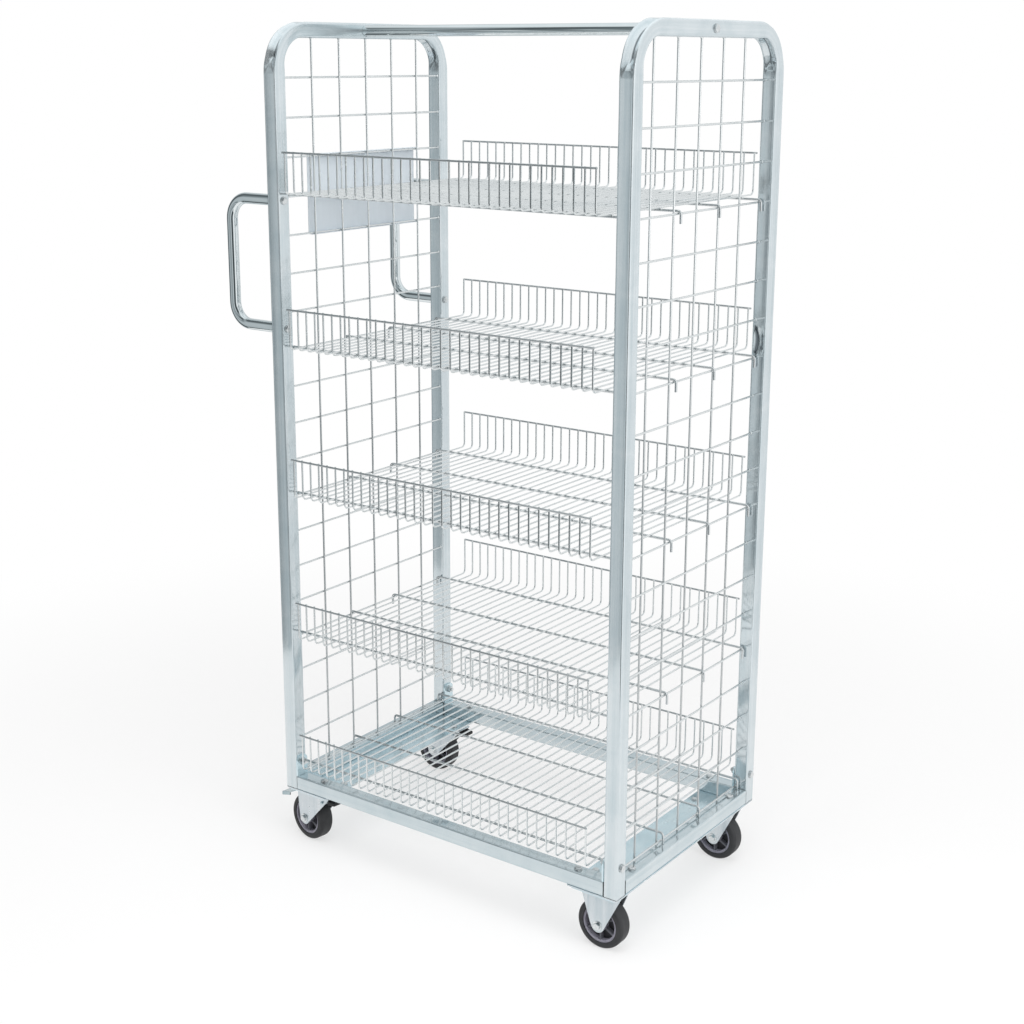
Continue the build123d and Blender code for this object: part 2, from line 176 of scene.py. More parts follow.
# Bolts
bolt_flats = 13 * mm
bolt_corner = bolt_flats / 2 / cos(pi / 6)
bolt_head = 5 * mm
bolt_rim = 2.2 * mm
bolt_edge = 0.35 * mm
washer_radius = 8.2 * mm
washer_thickness = 1.4 * mm
thread_radius = 3.8 * mm
thread_lap = 0.5 * mm
nut_height = 6 * mm
nut_thread = 11 * mm
bed_bolt_shank = 6 * mm
bed_bolt_x = 80 * mm
bed_bolt_y = 190 * mm

# Wheels
wheel_radius = 50 * mm
wheel_half = 17 * mm
tyre_shoulder = 8 * mm
rim_radius = 37 * mm
rim_inside = rim_radius - 4.5 * mm
rim_half = 15 * mm
rim_edge = 0.7 * mm
web_half = 3 * mm
boss_radius = 13.5 * mm
boss_half = 19 * mm
boss_wall = 4 * mm
boss_dish = 1 * mm
rib_count = 6
rib_half = 2 * mm
rib_set_back = 2.5 * mm
rib_lap = 1 * mm
rib_edge = 0.8 * mm
axle_radius = 6 * mm
axle_washer_radius = 9.5 * mm
axle_washer = 1.6 * mm
axle_washer_lap = 0.2 * mm
axle_head = 6 * mm
axle_rim = 1.2 * mm
axle_edge = 0.4 * mm

# Forks and top plates, from the upright axis of the plate
fork_sheet = 3 * mm
fork_inside = 20 * mm
fork_outside = fork_inside + fork_sheet
fork_eye = 14 * mm
fork_crease = 17 * mm
fork_fold = 18
fork_edge = 0.7 * mm
fixed_fork_half = 49 * mm
swivel_fork_front = 48 * mm
swivel_fork_back = -52 * mm
swivel_fork_drop = 6.3 * mm
swivel_front_fold = 3
swivel_offset = 28 * mm
plate_corner = 9 * mm
plate_edge = 0.5 * mm
race_radius = 29 * mm
race_drop = 6 * mm
race_rim = 2.5 * mm
kingpin_radius = 6 * mm
kingpin_head_radius = 9.5 * mm
# How far below the plate the kingpin and its head end and begin
kingpin_drops = (10 * mm, 5 * mm)
kingpin_head_drops = (13.5 * mm, 9.6 * mm)

# Brakes
lever_half = 15 * mm
lever_sheet = 2.5 * mm
lever_level = 105.5 * mm
# From the tongue to the end of the pedal, along X and up
lever_line = ((56 * mm, lever_level), (-52 * mm, lever_level), (-86 * mm, 88 * mm), (-113 * mm, 80 * mm))
lever_edge = 0.6 * mm
pedal_flange = 6 * mm
# Downward share of the normal above which a face is the pedal's underside
pedal_tilt = 0.9
pin_at = (30 * mm, 0, 104 * mm)
pin_radius = 3 * mm
pin_end = 1 * mm
sleeve_radius = 5.5 * mm
tab_taper = (1, 0.86, 0.6)
tab_edge = 2.2 * mm


def new_piece():
    """Opens an empty mesh at the origin, with nothing else selected."""
    bpy.ops.object.select_all(action="DESELECT")
    bpy.ops.object.add(type="MESH", location=(0, 0, 0))
    bpy.ops.object.mode_set(mode="EDIT")
    bpy.ops.mesh.select_mode(type="VERT")


def open_mesh():
    return bmesh.from_edit_mesh(bpy.context.object.data)


def pick(kind, test):
    """Selects the vertices, edges or faces of the open piece that pass the test."""
    bpy.ops.mesh.select_mode(type=kind)
    bpy.ops.mesh.select_all(action="DESELECT")
    mesh = open_mesh()
    parts = {"VERT": mesh.verts, "EDGE": mesh.edges, "FACE": mesh.faces}[kind]
    parts.index_update()
    for part in parts:
        if test(part):
            part.select_set(True)
    mesh.select_flush_mode()
    bmesh.update_edit_mesh(bpy.context.object.data)


def middle_of(part):
    """Middle of an edge or a face."""
    return sum((v.co for v in part.verts), Vector()) / len(part.verts)


def pick_faces(normal, test=lambda middle: True):
    """Selects the faces that look one way and whose middle passes the test."""
    way = Vector(normal)
    pick("FACE", lambda face: face.normal.dot(way) > facing and test(face.calc_center_median()))


def ring(sides, radius, at, axis):
    """An open ring across an axis, from which a bar is drawn."""
    bpy.ops.mesh.primitive_circle_add(
        vertices=sides, radius=radius, fill_type="NOTHING", location=at, rotation=turned[axis]
    )


def run(x, y, z):
    """Draws what is selected straight on."""
    bpy.ops.mesh.extrude_region_move(TRANSFORM_OT_translate={"value": (x, y, z)})


def bend(middle, axis, degrees, steps):
    """Draws what is selected round a bend, by the right-hand rule about the axis."""
    bpy.ops.mesh.spin(steps=steps, angle=-radians(degrees), center=middle, axis=along[axis])


def flare(at, factor):
    """Widens or narrows the open end."""
    bpy.ops.transform.resize(value=(factor, factor, factor), center_override=at)


def box(low, high):
    """A block between two corners, to be cut and bevelled."""
    low = Vector(low)
    high = Vector(high)
    bpy.ops.mesh.primitive_cube_add(size=1, location=(low + high) / 2, scale=high - low)


def drum(sides, radius, low, high, axis, at=(0, 0, 0)):
    """A drum along an axis, from low to high on it, to be inset and bevelled."""
    spot = Vector(at) + Vector(along[axis]) * (low + high) / 2
    bpy.ops.mesh.primitive_cylinder_add(
        vertices=sides, radius=radius, depth=high - low, location=spot, rotation=turned[axis]
    )


def round_picked(radius, steps):
    """Rounds the selected edges."""
    bpy.ops.mesh.bevel(offset=radius, segments=steps, affect="EDGES")


def round_upright_edges(radius, steps):
    pick("EDGE", lambda edge: abs(edge.verts[0].co.z - edge.verts[1].co.z) > mm)
    round_picked(radius, steps)


def cut_across(at, axis):
    """Cuts new edges into the whole open piece, across an axis."""
    bpy.ops.mesh.select_all(action="SELECT")
    bpy.ops.mesh.bisect(plane_co=at, plane_no=along[axis])


def close_solids():
    """Turns the closed solids of the open mesh outwards, and leaves edit mode."""
    bpy.ops.mesh.select_all(action="SELECT")
    bpy.ops.mesh.normals_make_consistent(inside=False)
    bpy.ops.object.mode_set(mode="OBJECT")
    return bpy.context.object


def close_piece():
    """Merges and caps the open mesh, turns it outwards, and leaves edit mode."""
    bpy.ops.mesh.select_mode(type="VERT")
    bpy.ops.mesh.select_all(action="SELECT")
    bpy.ops.mesh.remove_doubles(threshold=tiny)
    bpy.ops.mesh.fill_holes(sides=0)
    return close_solids()


def only(piece):
    """Selects one piece and nothing else."""
    bpy.ops.object.select_all(action="DESELECT")
    piece.select_set(True)
    bpy.context.view_layer.objects.active = piece


def apply_modifier(piece, kind, **settings):
    only(piece)
    bpy.ops.object.modifier_add(type=kind)
    modifier = piece.modifiers[-1]
    for name, value in settings.items():
        setattr(modifier, name, value)
    bpy.ops.object.modifier_apply(modifier=modifier.name)


def round_edges(piece, width, steps=2, angle=40):
    """Rounds every edge that is sharper than the angle."""
    apply_modifier(
        piece, "BEVEL", width=width, segments=steps, limit_method="ANGLE", angle_limit=radians(angle),
        use_clamp_overlap=True,
    )


def repeat(piece, count, step):
    """Makes a row of a piece, each copy one step from the last."""
    apply_modifier(
        piece, "ARRAY", count=count, use_relative_offset=False, use_constant_offset=True,
        constant_offset_displace=step,
    )


def mirror_piece(piece, axis):
    """Adds the mirrored half of a piece across the middle plane of an axis."""
    apply_modifier(
        piece, "MIRROR", use_axis=[name == axis for name in "XYZ"], use_clip=True, merge_threshold=mirror_seam
    )
    only(piece)
    bpy.ops.object.mode_set(mode="EDIT")
    return close_piece()


def place(piece, at=(0, 0, 0), turn=0.0, axis="Z"):
    """A copy of a piece with its own mesh, turned about an axis and then moved."""
    only(piece)
    bpy.ops.object.duplicate()
    copy = bpy.context.object
    copy.matrix_world = Matrix.Translation(at) @ Matrix.Rotation(turn, 4, axis)
    bpy.ops.object.transform_apply(location=True, rotation=True, scale=True)
    return copy


def join(pieces):
    """One piece of several."""
    bpy.ops.object.select_all(action="DESELECT")
    for piece in pieces:
        piece.select_set(True)
    bpy.context.view_layer.objects.active = pieces[0]
    bpy.ops.object.join()
    return bpy.context.object


def hand_in(piece, name, material, nodes=(), body="frame"):
    """Names a finished piece, gives it its surface, and sets it on the body of the nodes it stands for."""
    piece.name = name
    piece.data.name = name
    if not piece.data.materials:
        piece.data.materials.append(material)
    only(piece)
    bpy.ops.object.shade_smooth_by_angle(angle=smooth_angle)
    apply_modifier(piece, "WEIGHTED_NORMAL", keep_sharp=True)
    for node in nodes:
        body = frame["nodes"][node]["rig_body"]
    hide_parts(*nodes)
    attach(piece, body)


# Surfaces


def add_node(tree, kind, settings=None, **values):
    """A shader node with its settings and its sockets, each by its name or, as in i0, by its place."""
    made = tree.nodes.new(kind)
    for name, value in (settings or {}).items():
        setattr(made, name, value)
    for name, value in values.items():
        by_place = name[0] == "i" and name[1:].isdigit()
        socket = made.inputs[int(name[1:]) if by_place else name.replace("_", " ")]
        if isinstance(value, bpy.types.NodeSocket):
            tree.links.new(value, socket)
        else:
            socket.default_value = value
    return made


def noise(tree, place_on, scale, detail, **more):
    values = {"Vector": place_on, "Scale": scale, "Detail": detail, **more}
    return add_node(tree, "ShaderNodeTexNoise", **values).outputs[0]


def maths(tree, operation, *values):
    """The result of an operation on numbers and linked values."""
    sockets = {f"i{number}": value for number, value in enumerate(values)}
    return add_node(tree, "ShaderNodeMath", {"operation": operation}, **sockets).outputs[0]


def stretch(tree, value, start=(0.0, 1.0), end=(0.0, 1.0), kind="LINEAR"):
    """A value stretched from one range to another, and held within it."""
    return add_node(
        tree, "ShaderNodeMapRange", {"interpolation_type": kind}, Value=value,
        From_Min=start[0], From_Max=start[1], To_Min=end[0], To_Max=end[1],
    ).outputs[0]


def blend(tree, factor, first, second):
    """A mix of two colours."""
    return add_node(tree, "ShaderNodeMix", {"data_type": "RGBA"}, i0=factor, i6=first, i7=second).outputs[2]


def two_tone(tree, factor, dark, light):
    """A colour between two tones."""
    ramp = add_node(tree, "ShaderNodeValToRGB", i0=factor)
    ramp.color_ramp.elements[0].color = (*dark, 1)
    ramp.color_ramp.elements[1].color = (*light, 1)
    return ramp.outputs[0]


def object_place(tree):
    return tree.nodes.new("ShaderNodeTexCoord").outputs["Object"]


def new_group(name, inputs, outputs):
    """An empty node group with its sockets."""
    group = bpy.data.node_groups.new(name, "ShaderNodeTree")
    for label, kind, value in inputs:
        socket = group.interface.new_socket(label, in_out="INPUT", socket_type=kind)
        if value is not None:
            socket.default_value = value
    for label in outputs:
        group.interface.new_socket(label, in_out="OUTPUT", socket_type="NodeSocketFloat")
    return group, group.nodes.new("NodeGroupInput").outputs, group.nodes.new("NodeGroupOutput").inputs


def make_plating_group():
    """Zinc or chrome plating: drawing lines along the piece, clouds, and the odd dull spot."""
    group, given, out = new_group(
        "plating",
        [
            ("Along", "NodeSocketVector", None),
            ("Place", "NodeSocketVector", None),
            ("Cloud Scale", "NodeSocketFloat", 14.0),
            ("Smooth", "NodeSocketFloat", 0.2),
            ("Rough", "NodeSocketFloat", 0.35),
        ],
        ["Tone", "Roughness", "Height"],
    )
    line_share = 0.6
    cloud_share = 0.4
    lines = noise(group, given["Along"], scale=1.0, detail=5.0, Roughness=0.65)
    clouds = noise(
        group, given["Place"], scale=given["Cloud Scale"], detail=4.0, Roughness=0.6, Distortion=0.6
    )
    spots = noise(group, given["Place"], scale=75.0, detail=2.0)
    dull = stretch(group, spots, start=(0.6, 0.72), end=(0.0, 0.3))
    drawn = maths(group, "MULTIPLY", lines, line_share)
    cloudy = maths(group, "MULTIPLY_ADD", clouds, cloud_share, drawn)
    tone = stretch(group, cloudy, start=(0.3, 0.7))
    dulled = maths(group, "ADD", tone, dull)
    rough = stretch(group, dulled, end=(given["Smooth"], given["Rough"]))
    group.links.new(tone, out["Tone"])
    group.links.new(rough, out["Roughness"])
    group.links.new(lines, out["Height"])
    return group


def make_scuff_group():
    """Dust and scuffs on rubber and moulded plastic."""
    group, given, out = new_group(
        "scuffs",
        [("Place", "NodeSocketVector", None), ("Scale", "NodeSocketFloat", 60.0)],
        ["Dust", "Roughness", "Height"],
    )
    clouds = noise(group, given["Place"], scale=given["Scale"], detail=6.0)
    grain = noise(group, given["Place"], scale=1400.0, detail=2.0)
    group.links.new(stretch(group, clouds, start=(0.42, 0.75)), out["Dust"])
    group.links.new(stretch(group, clouds, end=(0.4, 0.75)), out["Roughness"])
    group.links.new(grain, out["Height"])
    return group


plating_group = make_plating_group()
scuff_group = make_scuff_group()


def new_material(name, **constants):
    """A material with its shader, whose plain values are set on the shader itself."""
    material = bpy.data.materials.new(name)
    material.use_nodes = True
    tree = material.node_tree
    shader = tree.nodes["Principled BSDF"]
    for label, value in constants.items():
        shader.inputs[label.replace("_", " ")].default_value = value
    return material, tree, shader


def lay_on(tree, shader, colour, effect, bump, depth):
    """Gives a shader its colour, and the roughness and the relief of an effect."""
    relief = add_node(tree, "ShaderNodeBump", Strength=bump, Distance=depth, Height=effect["Height"])
    tree.links.new(colour, shader.inputs["Base Color"])
    tree.links.new(effect["Roughness"], shader.inputs["Roughness"])
    tree.links.new(relief.outputs[0], shader.inputs["Normal"])


def plated(
    name, grain, dark, light, smooth, rough, cloud_scale=14.0, bump=0.006, haze=None, note=None, crease=None,
    dulled=None,
):
    """A plated metal surface, whose grain is drawn out along the axis where its scale is small.

    Haze makes it less of a mirror. A note names the attribute that the grain follows, and another attribute
    gives the share of painted shade, at the bottom of the bend's creases and in the knock's curls. Given two
    heights and a tone, the surface takes that duller tone below the lower one and its own above the higher
    one.
    """
    material, tree, shader = new_material(name, Metallic=1.0)
    if note:
        place_on = add_node(tree, "ShaderNodeAttribute", {"attribute_name": note}).outputs["Vector"]
    else:
        place_on = object_place(tree)
    drawn = add_node(tree, "ShaderNodeMapping", Vector=place_on, Scale=grain)
    plating = add_node(
        tree, "ShaderNodeGroup", {"node_tree": plating_group}, Along=drawn.outputs[0], Place=place_on,
        Cloud_Scale=cloud_scale, Smooth=smooth, Rough=rough,
    ).outputs
    colour = two_tone(tree, plating["Tone"], dark, light)
    # Painted shade: blends towards a near-black tone by the share in the named attribute, at the bottom of
    # the bend's creases and in the knock's curls
    if crease:
        fold = add_node(tree, "ShaderNodeAttribute", {"attribute_name": crease}).outputs["Fac"]
        colour = blend(tree, fold, colour, (*zinc_crease, 1))
    # Darker and greyer towards the bottom: the colour turns to the given tone below the lower height
    if dulled:
        low, high, dull = dulled
        height = add_node(tree, "ShaderNodeSeparateXYZ", Vector=place_on).outputs[2]
        colour = blend(tree, stretch(tree, height, (low, high), (1.0, 0.0)), colour, (*dull, 1))
    lay_on(tree, shader, colour, plating, bump, 0.5 * mm)
    if haze:
        metal = stretch(tree, plating["Tone"], end=(1 - haze[0], 1 - haze[1]))
        tree.links.new(metal, shader.inputs["Metallic"])
    return material


def plated_tube(name, grain, dark, light, **notes):
    """Plating of the square tube, with clear drawing lines."""
    return plated(name, grain, dark, light, smooth=0.06, rough=0.14, bump=0.1, haze=(0.12, 0.26), **notes)


def plated_sheet(name, grain, dark, light):
    """Duller plating of pressed sheet."""
    return plated(name, grain, dark, light, smooth=0.16, rough=0.3, cloud_scale=16.0, haze=(0.15, 0.3))


def plated_wire(name, dark, light, smooth, rough, dulled=None):
    """Plating of a wire, with wide clouds and no relief."""
    return plated(name, (14, 14, 14), dark, light, smooth, rough, cloud_scale=9.0, bump=0.0, dulled=dulled)


def moulded(name, dark, light, scale, bump):
    """Rubber or plastic with dust in its scuffs."""
    material, tree, shader = new_material(name)
    scuffs = add_node(
        tree, "ShaderNodeGroup", {"node_tree": scuff_group}, Place=object_place(tree), Scale=scale
    ).outputs
    lay_on(tree, shader, two_tone(tree, scuffs["Dust"], dark, light), scuffs, bump, 0.3 * mm)
    return material


zinc_dark = (0.56, 0.645, 0.68)
zinc_light = (0.83, 0.875, 0.895)
# Painted shade at the bottom of the bend's creases and in the knock's curls
zinc_crease = (0.10, 0.125, 0.14)
base_dark = (0.505, 0.60, 0.64)
base_light = (0.765, 0.825, 0.845)
# The upright mesh wires turn to this tone below the lower of these heights
low_wire_tone = (0.56, 0.58, 0.585)
low_tone_heights = (0.85, 1.25)
# The bent tubes take painted shade in their creases and in the knock
zinc_bent = plated_tube(
    "zinc_bent", (160, 160, 2), zinc_dark, zinc_light, note="laid_straight", crease="creased"
)
zinc_lengthwise = plated_tube("zinc_lengthwise", (2, 160, 160), base_dark, base_light)
zinc_crosswise = plated_tube("zinc_crosswise", (160, 2, 160), base_dark, base_light)
zinc_sheet = plated_sheet("zinc_sheet", (110, 5, 110), (0.58, 0.755, 0.825), (0.82, 0.93, 0.965))
fork_zinc = plated_sheet("fork_zinc", (90, 90, 3), (0.47, 0.55, 0.595), (0.87, 0.90, 0.92))
pedal_zinc = plated(
    "pedal_zinc", (60, 60, 60), (0.34, 0.43, 0.47), (0.50, 0.585, 0.61), smooth=0.14, rough=0.26,
    cloud_scale=40.0,
)
zinc_wire = plated_wire("zinc_wire", (0.73, 0.755, 0.76), (0.835, 0.855, 0.855), 0.22, 0.32)
zinc_upright = plated_wire(
    "zinc_upright", (0.78, 0.805, 0.81), (0.88, 0.90, 0.90), 0.22, 0.32, dulled=(*low_tone_heights, low_wire_tone)
)
zinc_support = plated_wire("zinc_support", (0.60, 0.625, 0.635), (0.72, 0.74, 0.745), 0.2, 0.3)
zinc_lip = plated_wire("zinc_lip", (0.50, 0.52, 0.53), (0.62, 0.64, 0.645), 0.2, 0.3)
bright_tube = plated(
    "bright_tube", (20, 20, 20), (0.72, 0.775, 0.79), (0.81, 0.85, 0.86), smooth=0.03, rough=0.08,
    cloud_scale=9.0, bump=0.002,
)
bolt_zinc = plated(
    "bolt_zinc", (200, 200, 200), (0.56, 0.59, 0.60), (0.80, 0.82, 0.825), smooth=0.05, rough=0.12,
    cloud_scale=120.0,
)
sign_sheet = plated(
    "sign_sheet", (8, 90, 8), (0.74, 0.80, 0.85), (0.81, 0.87, 0.915), smooth=0.4, rough=0.55,
    cloud_scale=10.0, haze=(0.5, 0.6),
)
joint_shade = plated(
    "joint_shade", (60, 60, 60), (0.10, 0.115, 0.12), (0.2, 0.22, 0.225), smooth=0.4, rough=0.6,
    cloud_scale=60.0,
)
tyre_rubber = moulded("tyre_rubber", (0.024, 0.025, 0.028), (0.048, 0.05, 0.053), scale=45.0, bump=0.12)
# One grey plastic in lit and shaded copies: the rim's lighter copy is painted light where it faces the lamps,
# and the web's near-black copy is painted shade in the deep pockets
rim_plastic_painted_light = moulded("rim_plastic_painted_light", (0.40, 0.39, 0.47), (0.51, 0.50, 0.58), scale=80.0, bump=0.06)
rib_plastic = moulded("rib_plastic", (0.15, 0.155, 0.18), (0.23, 0.23, 0.265), scale=80.0, bump=0.06)
web_plastic_painted_shade = moulded("web_plastic_painted_shade", (0.02, 0.021, 0.027), (0.04, 0.042, 0.05), scale=80.0, bump=0.06)
black_plastic = moulded("black_plastic", (0.012, 0.012, 0.014), (0.03, 0.03, 0.033), scale=120.0, bump=0.08)


# Gables


def square_ring(at, axis):
    """An open outline of square tube across an axis, with round corners and slightly hollow sides."""
    bpy.ops.mesh.primitive_plane_add(size=tube_side, location=at, rotation=turned[axis])
    bpy.ops.mesh.bevel(offset=tube_corner, segments=4, affect="VERTICES")
    bpy.ops.mesh.select_all(action="SELECT")
    bpy.ops.mesh.delete(type="ONLY_FACE")
    pick("EDGE", lambda edge: edge.calc_length() > tube_half)
    bpy.ops.mesh.subdivide(number_cuts=2 * tube_columns - 1)
    for name in "XYZ":
        if name != axis:
            for side in (-1, 1):
                sink_side(Vector(at), Vector(along[name]) * side)
    bpy.ops.mesh.select_all(action="SELECT")


def sink_side(middle, outwards):
    """Moves the points of one side of the open outline inwards, most in the middle."""
    face = middle + outwards * tube_half
    step = tube_flat / tube_columns
    for column in range(tube_columns):
        share = 1 - (column / tube_columns) ** 2
        near = (column - 0.5) * step
        far = (column + 0.5) * step
        pick(
            "VERT",
            lambda v: abs((v.co - face).dot(outwards)) < tiny and near <= (v.co - face).length + tiny < far,
        )
        bpy.ops.transform.translate(value=outwards * (-tube_hollow * share))


def turn_end(middle, axis, degrees):
    """Turns the open end, by the right-hand rule about the axis."""
    bpy.ops.transform.rotate(
        value=-radians(degrees), orient_axis=axis, orient_type="GLOBAL", center_override=middle
    )


def pinch(middle, outwards, press, way):
    """Presses the outer and the inner side of the open end in, or with way -1 brings them back."""
    narrowed, depth = press
    if not narrowed:
        return
    middle = Vector(middle)
    outwards = Vector(outwards)
    mesh = open_mesh()
    mesh.verts.index_update()
    end = {v.index: v.co - middle for v in mesh.verts if v.select}
    amount = depth / outer_valley
    for side, edge, valley in ((1, outer_pinch, outer_valley), (-1, inner_pinch, inner_valley)):
        half = [index for index, away in end.items() if away.dot(outwards) * side > pinch_clear]
        rows = {}
        for index in half:
            across = abs(end[index].x)
            if across < tube_flat - tiny:
                rows.setdefault(round(across / mm, 2), []).append(index)
        factor = (1 - edge * amount / tube_half) ** way
        scale = [1 + (factor - 1) * abs(part) for part in outwards]
        for step in ("squeeze", "valley")[::way]:
            if step == "squeeze":
                pick("VERT", lambda v: v.index in half)
                bpy.ops.transform.resize(value=scale, center_override=middle)
                continue
            for across, row in rows.items():
                pick("VERT", lambda v: v.index in row)
                sunk = valley * amount * min((tube_flat - across * mm) / (tube_flat * narrowed), 1)
                bpy.ops.transform.translate(value=outwards * (-side * way * sunk))
    pick("VERT", lambda v: v.index in end)


def gable_tube():
    """The right gable's inverted U. Its front half is drawn from the foot to the middle of the bar."""
    new_piece()
    square_ring((right_x, -post_y, foot_z), "Z")
    run(0, 0, joint_line)
    run(0, 0, bend_z - lead_length - foot_z - joint_line)
    centre = (right_x, -bend_y, bend_z)
    post = (right_x, -post_y, bend_z)
    outwards = (0, -1, 0)
    angle = 0
    press = press_steps[0]
    last = 2 * lead_steps + bend_steps
    for number in range(1, last + 1):
        if number <= lead_steps:
            run(0, 0, lead_length / lead_steps)
        elif number <= lead_steps + bend_steps:
            bend(centre, "X", -90 / bend_steps, 1)
            angle += 90 / bend_steps
        else:
            run(0, lead_length / lead_steps, 0)
        wanted = press_steps[min(number, last - number, len(press_steps) - 1)]
        turn_end(centre, "X", angle)
        pinch(post, outwards, press, -1)
        pinch(post, outwards, wanted, 1)
        turn_end(centre, "X", -angle)
        press = wanted
    run(0, bend_y - lead_length, 0)
    bpy.ops.object.mode_set(mode="OBJECT")
    tube = mirror_piece(bpy.context.object, "Y")
    line_joints(tube, zinc_bent, "Z", foot_z, top_z)
    return tube


def knock_in(tube):
    """Presses a knock into the inner face of the rear post, deeper in its lower half."""
    only(tube)
    bpy.ops.object.mode_set(mode="EDIT")
    levels = [2 * row / knock_rows - 1 for row in range(knock_rows + 1)]
    for level in levels:
        pick("FACE", lambda face: all(v.co.y > bend_y for v in face.verts))
        bpy.ops.mesh.bisect(plane_co=(0, 0, knock_z + level * knock_half), plane_no=along["Z"])
    inner_face = post_y - tube_half + mm
    for level in levels[1:-1]:
        height = knock_z + level * knock_half
        lengthwise = (1 - level**2) ** knock_taper * (1 - knock_sag * level)
        for column in range(tube_columns - 1):
            across = column / tube_columns
            pick(
                "VERT",
                lambda v: bend_y < v.co.y < inner_face
                and abs(v.co.z - height) < tiny
                and abs(abs(v.co.x - right_x) - across * tube_flat) < near_by,
            )
            depth = knock_depth * lengthwise * (1 - (across / knock_width) ** 2)
            bpy.ops.transform.translate(value=(0, depth, 0))
    bpy.ops.object.mode_set(mode="OBJECT")


def knock_painted_shade(spot):
    """How much painted shade the knock takes at a spot, for its dark reflections: a curl along its left side
    and one across its lower end.
    """
    sunk = spot.y - post_y + tube_half
    if not knock_rim < sunk < tube_half or abs(spot.z - knock_z) > knock_half:
        return 0.0
    level = (spot.z - knock_z) / knock_half
    across = (spot.x - right_x) / tube_flat
    beside = across - side_curl_x - side_curl_bow * cos(side_curl_waves * level)
    side_curl = side_curl_dark - abs(beside) / side_curl_width
    low_curl = 1 - hypot(across - low_curl_x, (level - low_curl_z) / low_curl_height) / low_curl_width
    return min(max(side_curl, low_curl, 0.0), 1.0)


def lay_straight(tube):
    """Notes where each point lay before the tube was bent, and its share of painted shade in the bend's
    creases and in the knock.
    """
    tube.data.attributes.new("laid_straight", "FLOAT_VECTOR", "POINT")
    tube.data.attributes.new("creased", "FLOAT", "POINT")
    notes = tube.data.attributes["laid_straight"]
    shade_shares = tube.data.attributes["creased"]
    middle = right_x if tube.data.vertices[0].co.x > 0 else left_x
    radius = gable_bend_radius - tube_half
    for vertex, note, fold in zip(tube.data.vertices, notes.data, shade_shares.data):
        x, y, z = vertex.co
        y = abs(y)
        turn = atan2(z - bend_z, y - bend_y)
        # Painted shade along the middle line of the bend, at the bottom of its creases
        fold.value = float(abs(x - middle) < tiny and abs(turn - pi / 4) < pi / 4 - crease_start)
        # Painted shade of the knock's curls, on the right rear post
        if x > 0 and vertex.co.y > 0:
            fold.value = max(fold.value, knock_painted_shade(vertex.co))
        if z < bend_z:
            spot = (y - post_y, z)
        elif y < bend_y:
            spot = (z - top_z + tube_half, bend_z + radius * pi / 2 + bend_y - y)
        else:
            spot = (hypot(y - bend_y, z - bend_z) - radius, bend_z + radius * turn)
        note.vector = (x, *spot)


def line_joints(tube, surface, axis, low, high):
    """Gives a tube its surface, and a dark band of painted shade at a joint where it meets its neighbours."""
    number = "XYZ".index(axis)
    tube.data.materials.append(surface)
    tube.data.materials.append(joint_shade)
    for face in tube.data.polygons:
        spot = face.center[number]
        if spot < low + joint_line or (spot > high - joint_line and axis != "Z"):
            face.material_index = 1


def straight_tube(node, axis, surface):
    """A straight square tube that fills a node's box."""
    low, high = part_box(node)
    number = "XYZ".index(axis)
    start = (low + high) / 2
    start[number] = low[number]
    new_piece()
    square_ring(start, axis)
    for length in (joint_line, high[number] - low[number] - 2 * joint_line, joint_line):
        run(*(Vector(along[axis]) * length))
    tube = close_piece()
    line_joints(tube, surface, axis, low[number], high[number])
    return tube


def welded_wire(start, axis, length):
    """A wire of the mesh along an axis, wider at both ends where it is welded on."""
    way = Vector(along[axis])
    new_piece()
    ring(10, mesh_wire / 2 * weld_flare, start, axis)
    run(*(way * weld_length))
    flare(start + way * weld_length, 1 / weld_flare)
    run(*(way * (length - 2 * weld_length)))
    run(*(way * weld_length))
    flare(start + way * length, weld_flare)
    return close_piece()


def mesh_wires(side):
    """Upright wires inside, and level wires welded to their outer side and to the posts."""
    low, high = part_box(f"{side}_gable_mesh")
    inner, outer, way = (low.x, high.x, 1) if side == "right" else (high.x, low.x, -1)
    column_x = inner + way * mesh_wire / 2
    column_y = -mesh_column_pitch * (mesh_columns - 1) / 2
    row_x = outer - way * (mesh_wire / 2 + mesh_row_inset)
    columns = welded_wire(Vector((column_x, column_y, low.z - mesh_column_lap)), "Z", high.z - low.z)
    repeat(columns, mesh_columns, (0, mesh_column_pitch, 0))
    columns.data.materials.append(zinc_upright)
    rows = welded_wire(Vector((row_x, low.y, low.z + mesh_row_start)), "Y", high.y - low.y)
    repeat(rows, mesh_rows, (0, 0, mesh_row_pitch))
    rows.data.materials.append(zinc_wire)
    return join([columns, rows])


def make_gables():
    right_tube = gable_tube()
    left_tube = place(right_tube, (left_x - right_x, 0, 0))
    knock_in(right_tube)
    for side, tube in (("right", right_tube), ("left", left_tube)):
        lay_straight(tube)
        hand_in(tube, f"{side}_gable_bent_tube", zinc_bent, [f"{side}_gable_tube"])
    for side in ("left", "right"):
        node = f"{side}_gable_cross_tube"
        foot_tube = straight_tube(node, "Y", zinc_crosswise)
        hand_in(foot_tube, f"{side}_gable_foot_tube", zinc_crosswise, [node])
        node = f"{side}_gable_mesh"
        hand_in(mesh_wires(side), f"{side}_gable_welded_mesh", zinc_wire, [node])


# Base


def end_plate(side):
    """A flat plate under the end of the base."""
    new_piece()
    box(*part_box(f"base_{side}_end_plate"))
    round_upright_edges(bed_corner, 4)
    plate = close_piece()
    round_edges(plate, bed_edge)
    for material in (zinc_sheet, fork_zinc):
        plate.data.materials.append(material)
    for face in plate.data.polygons:
        if abs(face.normal.z) < bed_side_tilt:
            face.material_index = 1
    return plate


